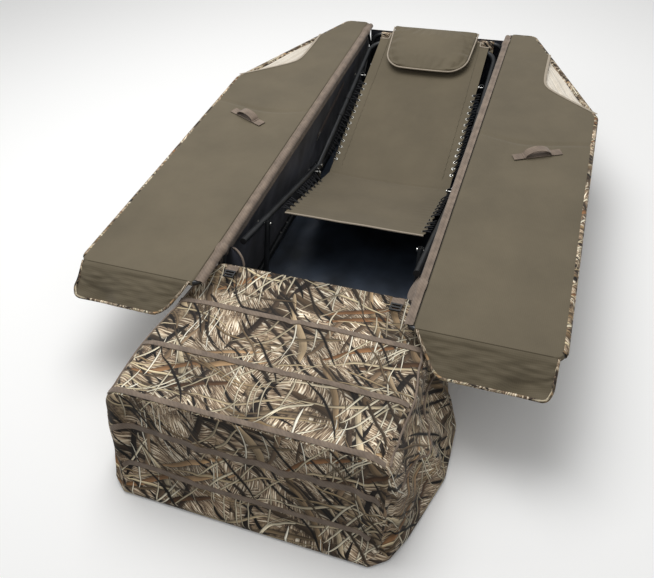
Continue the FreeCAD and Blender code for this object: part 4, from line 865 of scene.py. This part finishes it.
pillow = cloth_grid("headrest_cushion", 44, 38, pillow_point)
shape(pillow, "SOLIDIFY", thickness=0.014, offset=-1)
shape(pillow, "REMESH", mode="VOXEL", voxel_size=0.0055)
rim_held = []
for point in pillow.data.vertices:
    local = point.co - PILLOW_MIDDLE
    v = local.dot(BACK_WAY)
    edge = min(pillow_half(min(max(v, -0.125), 0.129)) - abs(local.x), v - PILLOW_LOW, PILLOW_HIGH - v)
    rim_held.append(1.0 if edge < 0.006 else 0.0)
settle(pillow, rim_held, 20, spare=0.02, pressure=4.0, cap=0.012)
for point in pillow.data.vertices:
    local = point.co - PILLOW_MIDDLE
    u, v, w = local.x, local.dot(BACK_WAY), local.dot(BACK_UP)
    side = max(0, abs(u) / pillow_half(min(max(v, -0.125), 0.129)) - 0.55) / 0.45
    fold = wrinkle(u * 7, v * 38, 0) * 0.010 * side * (1 if w > 0 else 0)
    w = max(w, -0.0085) + fold
    w += 0.006 * max(0, 1 - (u / 0.15) ** 2) * max(0, 1 - (v / 0.12) ** 2) * (1 if w > 0 else 0)
    point.co = pillow_place(u, v, w)
shape(pillow, "SUBSURF", levels=1, render_levels=1)
bpy.ops.object.shade_smooth()
dress(pillow.data, khaki_oxford)
rim = [pillow_place(pillow_half(v) + 0.004, v, 0.001) for v in (0.124, 0.10, 0.07, 0.04, 0.01, -0.02)]
for turn in (0.2, 0.5, 0.8, 1.1, 1.4):
    u, v = ROUND_HALF + 0.094 * math.cos(turn), ROUND_FROM - 0.094 * math.sin(turn)
    rim.append(pillow_place(u, v, 0.001))
rim += [Vector((-p.x, p.y, p.z)) for p in reversed(rim)]
pillow_piping = piping("headrest_piping", rim, 0.0034, light_tape)
for piece in (pillow, pillow_piping):
    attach(piece, "headrest")
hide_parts("headrest_pillow")

# Its fastening patch: a square of hook tape between the pillow and the back.
patch_low, patch_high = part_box("headrest_patch")


def patch_point(a, b):
    x = patch_low.x + (patch_high.x - patch_low.x) * a
    y = patch_low.y + (patch_high.y - patch_low.y) * b
    z = patch_low.z + (patch_high.z - patch_low.z) * b
    return Vector((x, y, z + 0.0006 * wrinkle(a * 9, b * 9, 0)))


patch = cloth_grid("headrest_hook_tape", 14, 8, patch_point, charcoal_nylon)
thicken(patch, 0.0012)
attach(patch, "headrest")
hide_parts("headrest_patch")

# Doors: khaki cloth on the face that shows when they lie open and printed cloth on the other, both
# drawn tight over a tube frame. The outer corner at the head is cut off and has a mesh window.
DOOR_FOOT, DOOR_HEAD, DOOR_INNER, DOOR_OUTER = -0.6545, 1.1745, 0.331, 0.7315
FACE_Z, BACK_Z, EDGE, CORNER = 0.3380, 0.3160, 0.010, 0.030
SHOULDER, WINDOW_FOOT = 0.563, 0.566
SEWN_Z = FACE_Z + 0.0006


def diagonal_x(y):
    """The cut-off edge at the shoulder."""
    return 0.4325 + (DOOR_HEAD - y) * 0.479


def window_x(y):
    """The window's curved inner edge: straight from the shoulder, then turning up to the head."""
    slant = 0.731 - (y - SHOULDER) * 1.31
    return 0.5 * (slant + 0.513 + math.hypot(slant - 0.513, 0.045))


def door_sides(y):
    """The panel's inner and outer edge at y, with round corners at both ends."""
    outer = min(DOOR_OUTER, window_x(y) if SHOULDER < y < 1.01 else 9, diagonal_x(y))
    inner = DOOR_INNER
    for end in (y - DOOR_FOOT, DOOR_HEAD - y):
        if end < CORNER:
            cut = CORNER - math.sqrt(max(0, CORNER**2 - (CORNER - end) ** 2))
            outer -= cut
            inner += cut * 0.3
    return inner, outer


def door_rise(x, y, inner, outer):
    """How far the cloth drops over the tube at its edges, and its share of the sag in the span."""
    drop = 0
    for distance in (x - inner, outer - x, y - DOOR_FOOT, DOOR_HEAD - y):
        if SHOULDER < y < 1.0 and distance == outer - x:
            continue
        short = max(0, EDGE - distance)
        drop = max(drop, EDGE - math.sqrt(max(0, EDGE**2 - short**2)))
    span = max(0, math.sin(math.pi * min(max((x - inner) / (outer - inner), 0), 1)))
    ends = min(1, (y - DOOR_FOOT) / 0.15, (DOOR_HEAD - y) / 0.15)
    return drop, span * max(ends, 0)


def lining_point(a, b):
    y = DOOR_FOOT + b * (DOOR_HEAD - DOOR_FOOT)
    inner, outer = door_sides(y)
    x = inner + (outer - inner) * a
    drop, span = door_rise(x, y, inner, outer)
    crease = 0.0050 * math.exp(-(((y - 0.345 - 0.05 * wrinkle(x * 3, 0, 0)) / 0.010) ** 2))
    wave = wrinkle(x * 6, y * 4, 1) * 0.0022 + wrinkle(x * 17, y * 12, 2) * 0.0007
    pucker = wrinkle(x * 25, y * 25, 6) * 0.0012 * max(0, 1 - min(y - DOOR_FOOT, DOOR_HEAD - y) / 0.12)
    return Vector((x, y, FACE_Z - drop - 0.003 * span - crease * (0.3 + span) + wave * span + pucker * span))


def cover_point(a, b):
    y = DOOR_FOOT + b * (DOOR_HEAD - DOOR_FOOT)
    inner, outer = door_sides(y)
    x = outer - (outer - inner) * a
    drop, span = door_rise(x, y, inner, outer)
    return Vector((x, y, BACK_Z + drop - span * (0.003 + 0.004 * wrinkle(x * 6, y * 4, 8))))


right_lining = cloth_grid("right_door_inner_cloth", 62, 260, lining_point, khaki_oxford)
thicken(right_lining, 0.0014)
right_cover = cloth_grid("right_door_outer_cloth", 50, 200, cover_point, printed_cloth)
lay_pattern(right_cover)
thicken(right_cover, 0.0014)

# A sleeve of the printed cloth closes each door's edge round the frame, from the foot corner by the
# shoulder to the head.
frame_copy = nodes["right_door_frame"].copy()
frame_copy.data = nodes["right_door_frame"].data.copy()
frame_copy.name = "right_door_edge_sleeve"
frame_copy.parent = None
scene.collection.objects.link(frame_copy)
for key in list(frame_copy.keys()):
    del frame_copy[key]
pick(frame_copy)
bpy.ops.object.mode_set(mode="EDIT")
bpy.ops.mesh.select_all(action="SELECT")
bpy.ops.mesh.remove_doubles(threshold=0.00002)
bpy.ops.transform.shrink_fatten(value=0.0030)
bpy.ops.object.mode_set(mode="OBJECT")


def off_hinge(face):
    """The frame without its hinge tube and the short bend at the hinge's foot end."""
    return face.center.x > 0.345 and face.center.y > -0.630


right_sleeve = take_faces(frame_copy, "right_door_edge_cloth", off_hinge)
bpy.data.objects.remove(frame_copy)
lay_pattern(right_sleeve)
dress(right_sleeve.data, printed_cloth)
bpy.ops.object.shade_smooth()

# Mesh windows: soft cream knitted mesh with fine holes, gathered into folds that run along the
# cut-off edge.
cream_mesh, tree, shader = new_finish("cream_knitted_mesh")
place = add(tree, "TexCoord").outputs["Object"]
# Holes 2 mm apart, drawn at 4 mm.
holes = add(tree, "TexVoronoi", {"Vector": place, "Scale": 250.0, "Randomness": 0.2})
cloud = add(tree, "TexNoise", {"Vector": place, "Scale": 18.0, "Detail": 3.0})
tone = add(tree, "ValToRGB", [cloud.outputs["Fac"]], stops=((0, "#c9c0b0"), (1, "#e9e2d6")))
solid = add(tree, "MapRange", {0: holes.outputs["Distance"], 1: 0.15, 2: 0.35, 3: 0.45, 4: 1.0})
bump = add(tree, "Bump", {"Strength": 0.3, "Distance": 0.0006, "Height": holes.outputs["Distance"]})
fill(tree, shader, {"Base Color": tone, "Alpha": solid, "Normal": bump})
fill(tree, shader, {"Roughness": 0.8, "Sheen Weight": 0.2})


def window_point(a, b):
    y = WINDOW_FOOT + 0.440 * b
    inner = window_x(y) - 0.006
    outer = max(diagonal_x(y) - 0.009, inner + 0.004)
    x = inner + (outer - inner) * a
    across = (x - diagonal_x(y)) * 0.90
    fold = 0.0050 * math.sin(across * 260 + 4 * wrinkle(y * 5, 0, 0))
    edge = math.sin(math.pi * min(max(a, 0), 1))
    return Vector((x, y, 0.3310 + fold * edge - 0.004 * edge))


right_window = cloth_grid("right_window_mesh", 50, 90, window_point, cream_mesh)
thicken(right_window, 0.0008)


def window_tape_point(a, b):
    y = WINDOW_FOOT + 0.436 * b
    slope = (window_x(y + 0.001) - window_x(y - 0.001)) / 0.002
    out = Vector((1, -slope, 0)).normalized()
    spot = Vector((window_x(y), y, SEWN_Z)) + out * (0.010 * a - 0.006)
    return spot - Vector((0, 0, 0.0035 * max(0, a - 0.6)))


right_window_tape = cloth_grid("right_window_binding", 6, 120, window_tape_point, light_tape)
thicken(right_window_tape, 0.0012, 1.0)

# Skirts: each door's foot end carries a flap of khaki that hangs over the gap beside the footbox,
# with a printed cord of piping along its lower edge.
SKIRT_INNER, SKIRT_WIDE, SKIRT_DROP, SKIRT_ROUND = 0.3450, 0.3700, 0.1145, 0.030


def skirt_point(a, b):
    """a runs outwards along the door's foot edge, b up from the hem to the fold."""
    edge = SKIRT_INNER + SKIRT_WIDE * a
    corner = min(a, 1 - a) * SKIRT_WIDE
    trim = SKIRT_ROUND - math.sqrt(max(0, SKIRT_ROUND**2 - max(0, SKIRT_ROUND - corner) ** 2))
    down = (1 - b) * (SKIRT_DROP - trim)
    x = edge + 0.070 * (1 - a) * down / SKIRT_DROP
    swing = 0.006 * math.sin(x * 47) + 0.014 * wrinkle(x * 9, b * 2, 4)
    out = swing * (1 - b) + 0.004 * wrinkle(x * 22, b * 9, 5) * math.sin(math.pi * b)
    spot = Vector((x, -0.6525, 0.3385)) + Vector((0, -0.760, -0.650)) * down
    bulge = 0.005 * math.sin(math.pi * min(down / 0.02, 1)) if down < 0.02 else 0
    return spot + Vector((0, -0.650, 0.760)) * (out + bulge * 0.4)


right_skirt = cloth_grid("right_door_flap", 90, 30, skirt_point, khaki_oxford)
thicken(right_skirt, 0.0016)
hem_points = [skirt_point(0.0, 1 - i / 4) for i in range(4)] + [skirt_point(i / 46, 0.0) for i in range(47)]
hem_points += [skirt_point(1.0, i / 4) for i in range(1, 5)]
right_hem = piping("right_flap_piping", hem_points, 0.0042, printed_cloth)
lay_pattern(right_hem)

# Hinge bindings: tan tape wraps the hinge tube from end to end, swells over the two rings that it
# turns in, and is sewn to the door and the wall.
HINGE_X, HINGE_Z, RINGS = 0.317, 0.327, (-0.484, 1.090)
HINGE_FOOT, HINGE_LONG = -0.640, 1.796


def hinge_tape_point(a, b):
    y = HINGE_FOOT + HINGE_LONG * b
    ring = min(abs(y - middle) for middle in RINGS)
    round_tube = 0.0102 + 0.0034 * min(max((0.022 - ring) / 0.012, 0), 1)
    turn = math.radians(205 - 150 * min(a / 0.7, 1))
    flat = max(a - 0.7, 0) / 0.3
    x = HINGE_X + round_tube * math.cos(turn) + flat * 0.009
    z = HINGE_Z + round_tube * math.sin(turn) + flat * 0.0030
    return Vector((x, y, z + 0.0006 * wrinkle(y * 25, a * 3, 2)))


right_hinge_tape = cloth_grid("right_hinge_tape", 16, 260, hinge_tape_point, webbing)
thicken(right_hinge_tape, 0.0012, 1.0)

# Handles: a tab of webbing sewn flat to the door, with a second length arched over it.
HANDLE_WIDE, HANDLE_TAB = 0.032, 0.040
handle_start, handle_end = Vector((0.475, 0.214, SEWN_Z)), Vector((0.629, 0.286, SEWN_Z))
handle_way = (handle_end - handle_start).normalized()
handle_side = Vector((-handle_way.y, handle_way.x, 0))


def handle_point(a, b, rise, lift):
    """a goes across the webbing, b along it; rise arches it between its sewn ends."""
    length = (handle_end - handle_start).length
    middle = min(max((b * length - HANDLE_TAB) / (length - 2 * HANDLE_TAB), 0), 1)
    spot = handle_start + handle_way * length * b + handle_side * HANDLE_WIDE * (a - 0.5)
    return spot + Vector((0, 0, rise * math.sin(math.pi * middle) ** 0.5 + lift))


def loop_point(a, b):
    return handle_point(a, 0.2 + 0.6 * b, 0.0215, 0.0030)


def tab_base_point(a, b):
    return handle_point(a, b, 0.0, 0.0008)


right_handle = cloth_grid("right_handle_loop", 8, 70, loop_point, webbing)
right_handle_base = cloth_grid("right_handle_tab", 8, 70, tab_base_point, webbing)
for piece in (right_handle, right_handle_base):
    thicken(piece, 0.0016, 0.0)

door_pieces = (
    (right_lining, "lining", "khaki_cloth"),
    (right_cover, "cover", "camo_cloth"),
    (right_sleeve, None, "camo_cloth"),
    (right_window, "window", "cream_mesh"),
    (right_window_tape, None, "tan_webbing"),
    (right_skirt, "skirt", "khaki_cloth"),
    (right_hem, None, "camo_cloth"),
    (right_hinge_tape, None, "tan_webbing"),
    (right_handle, "handle", "tan_webbing"),
    (right_handle_base, None, "tan_webbing"),
)
for piece, part, slot_name in door_pieces:
    for side, out in SIDES:
        own = piece if side == "right" else other_side(piece, piece.name.replace("right", "left"))
        if piece in (right_skirt, right_hem):
            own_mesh(own)
        if piece is right_hinge_tape:
            near, far = out * (HINGE_X - 0.011), out * (HINGE_X + 0.011)
            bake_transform(own)
        else:
            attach(own, f"{side}_door")
        if part:
            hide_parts(f"{side}_door_{part}")

# Corner flaps: a short tab of webbing at each foot corner of the cockpit holds a buckle.
flap_low, flap_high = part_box("corner_flaps")


def tab_point(a, b):
    x = 0.244 + 0.037 * a
    y = flap_low.y + (flap_high.y - flap_low.y) * b
    return Vector((x, y - 0.004, 0.3062 + 0.0008 * math.sin(b * 9)))


right_tab = cloth_grid("right_buckle_tab", 8, 10, tab_point, webbing)
thicken(right_tab, 0.0016)
left_tab = other_side(right_tab, "left_buckle_tab")
for piece in (right_tab, left_tab):
    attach(piece, "blind")
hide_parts("corner_flaps")

# Inside the left foot corner a black gusset hangs from an arch of tan tape; inside the right one a
# broad flap of the same tape cloth curls down from the wall's binding.
def arch_point(t):
    """Along the arch, from the wall's binding over to the cockpit hoop."""
    angle = math.radians(165 - 190 * t)
    return Vector((-0.283 + 0.034 * math.cos(angle), -0.425 - 0.075 * t, 0.268 + 0.040 * math.sin(angle)))


arch = piping("left_corner_arch", [arch_point(i / 20) for i in range(21)], 0.0036, webbing)


def gusset_point(a, b):
    """From the arch back to the wall's inner face."""
    near = arch_point(b)
    far = Vector((-0.3215 - 0.012 * b, near.y + 0.020, near.z - 0.010 - 0.030 * b))
    fold = 0.003 * math.sin(a * 9 + b * 5) * math.sin(math.pi * a)
    return near.lerp(far, a) + Vector((0, 0, fold))


gusset = cloth_grid("left_corner_gusset", 16, 30, gusset_point, charcoal_nylon)
thicken(gusset, 0.0014)


def corner_flap_point(a, b):
    """a runs from the binding inwards and down, b along the wall to the hoop."""
    y = -0.392 - 0.112 * b
    curl = math.sin(math.pi * (0.12 + 0.80 * b)) ** 0.5
    turn = math.radians(100 + 75 * a)
    x = 0.3165 + 0.046 * curl * math.cos(turn) * a ** 0.7
    z = 0.3095 - 0.052 * curl * a + 0.004 * math.sin(math.pi * a)
    return Vector((x, y, z + 0.002 * wrinkle(a * 4, b * 6, 3)))


corner_flap = cloth_grid("right_corner_flap", 14, 30, corner_flap_point, webbing)
thicken(corner_flap, 0.0018)
for piece, slot_name in ((arch, "tan_webbing"), (gusset, "black_elastic"), (corner_flap, "tan_webbing")):
    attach(piece, "blind")
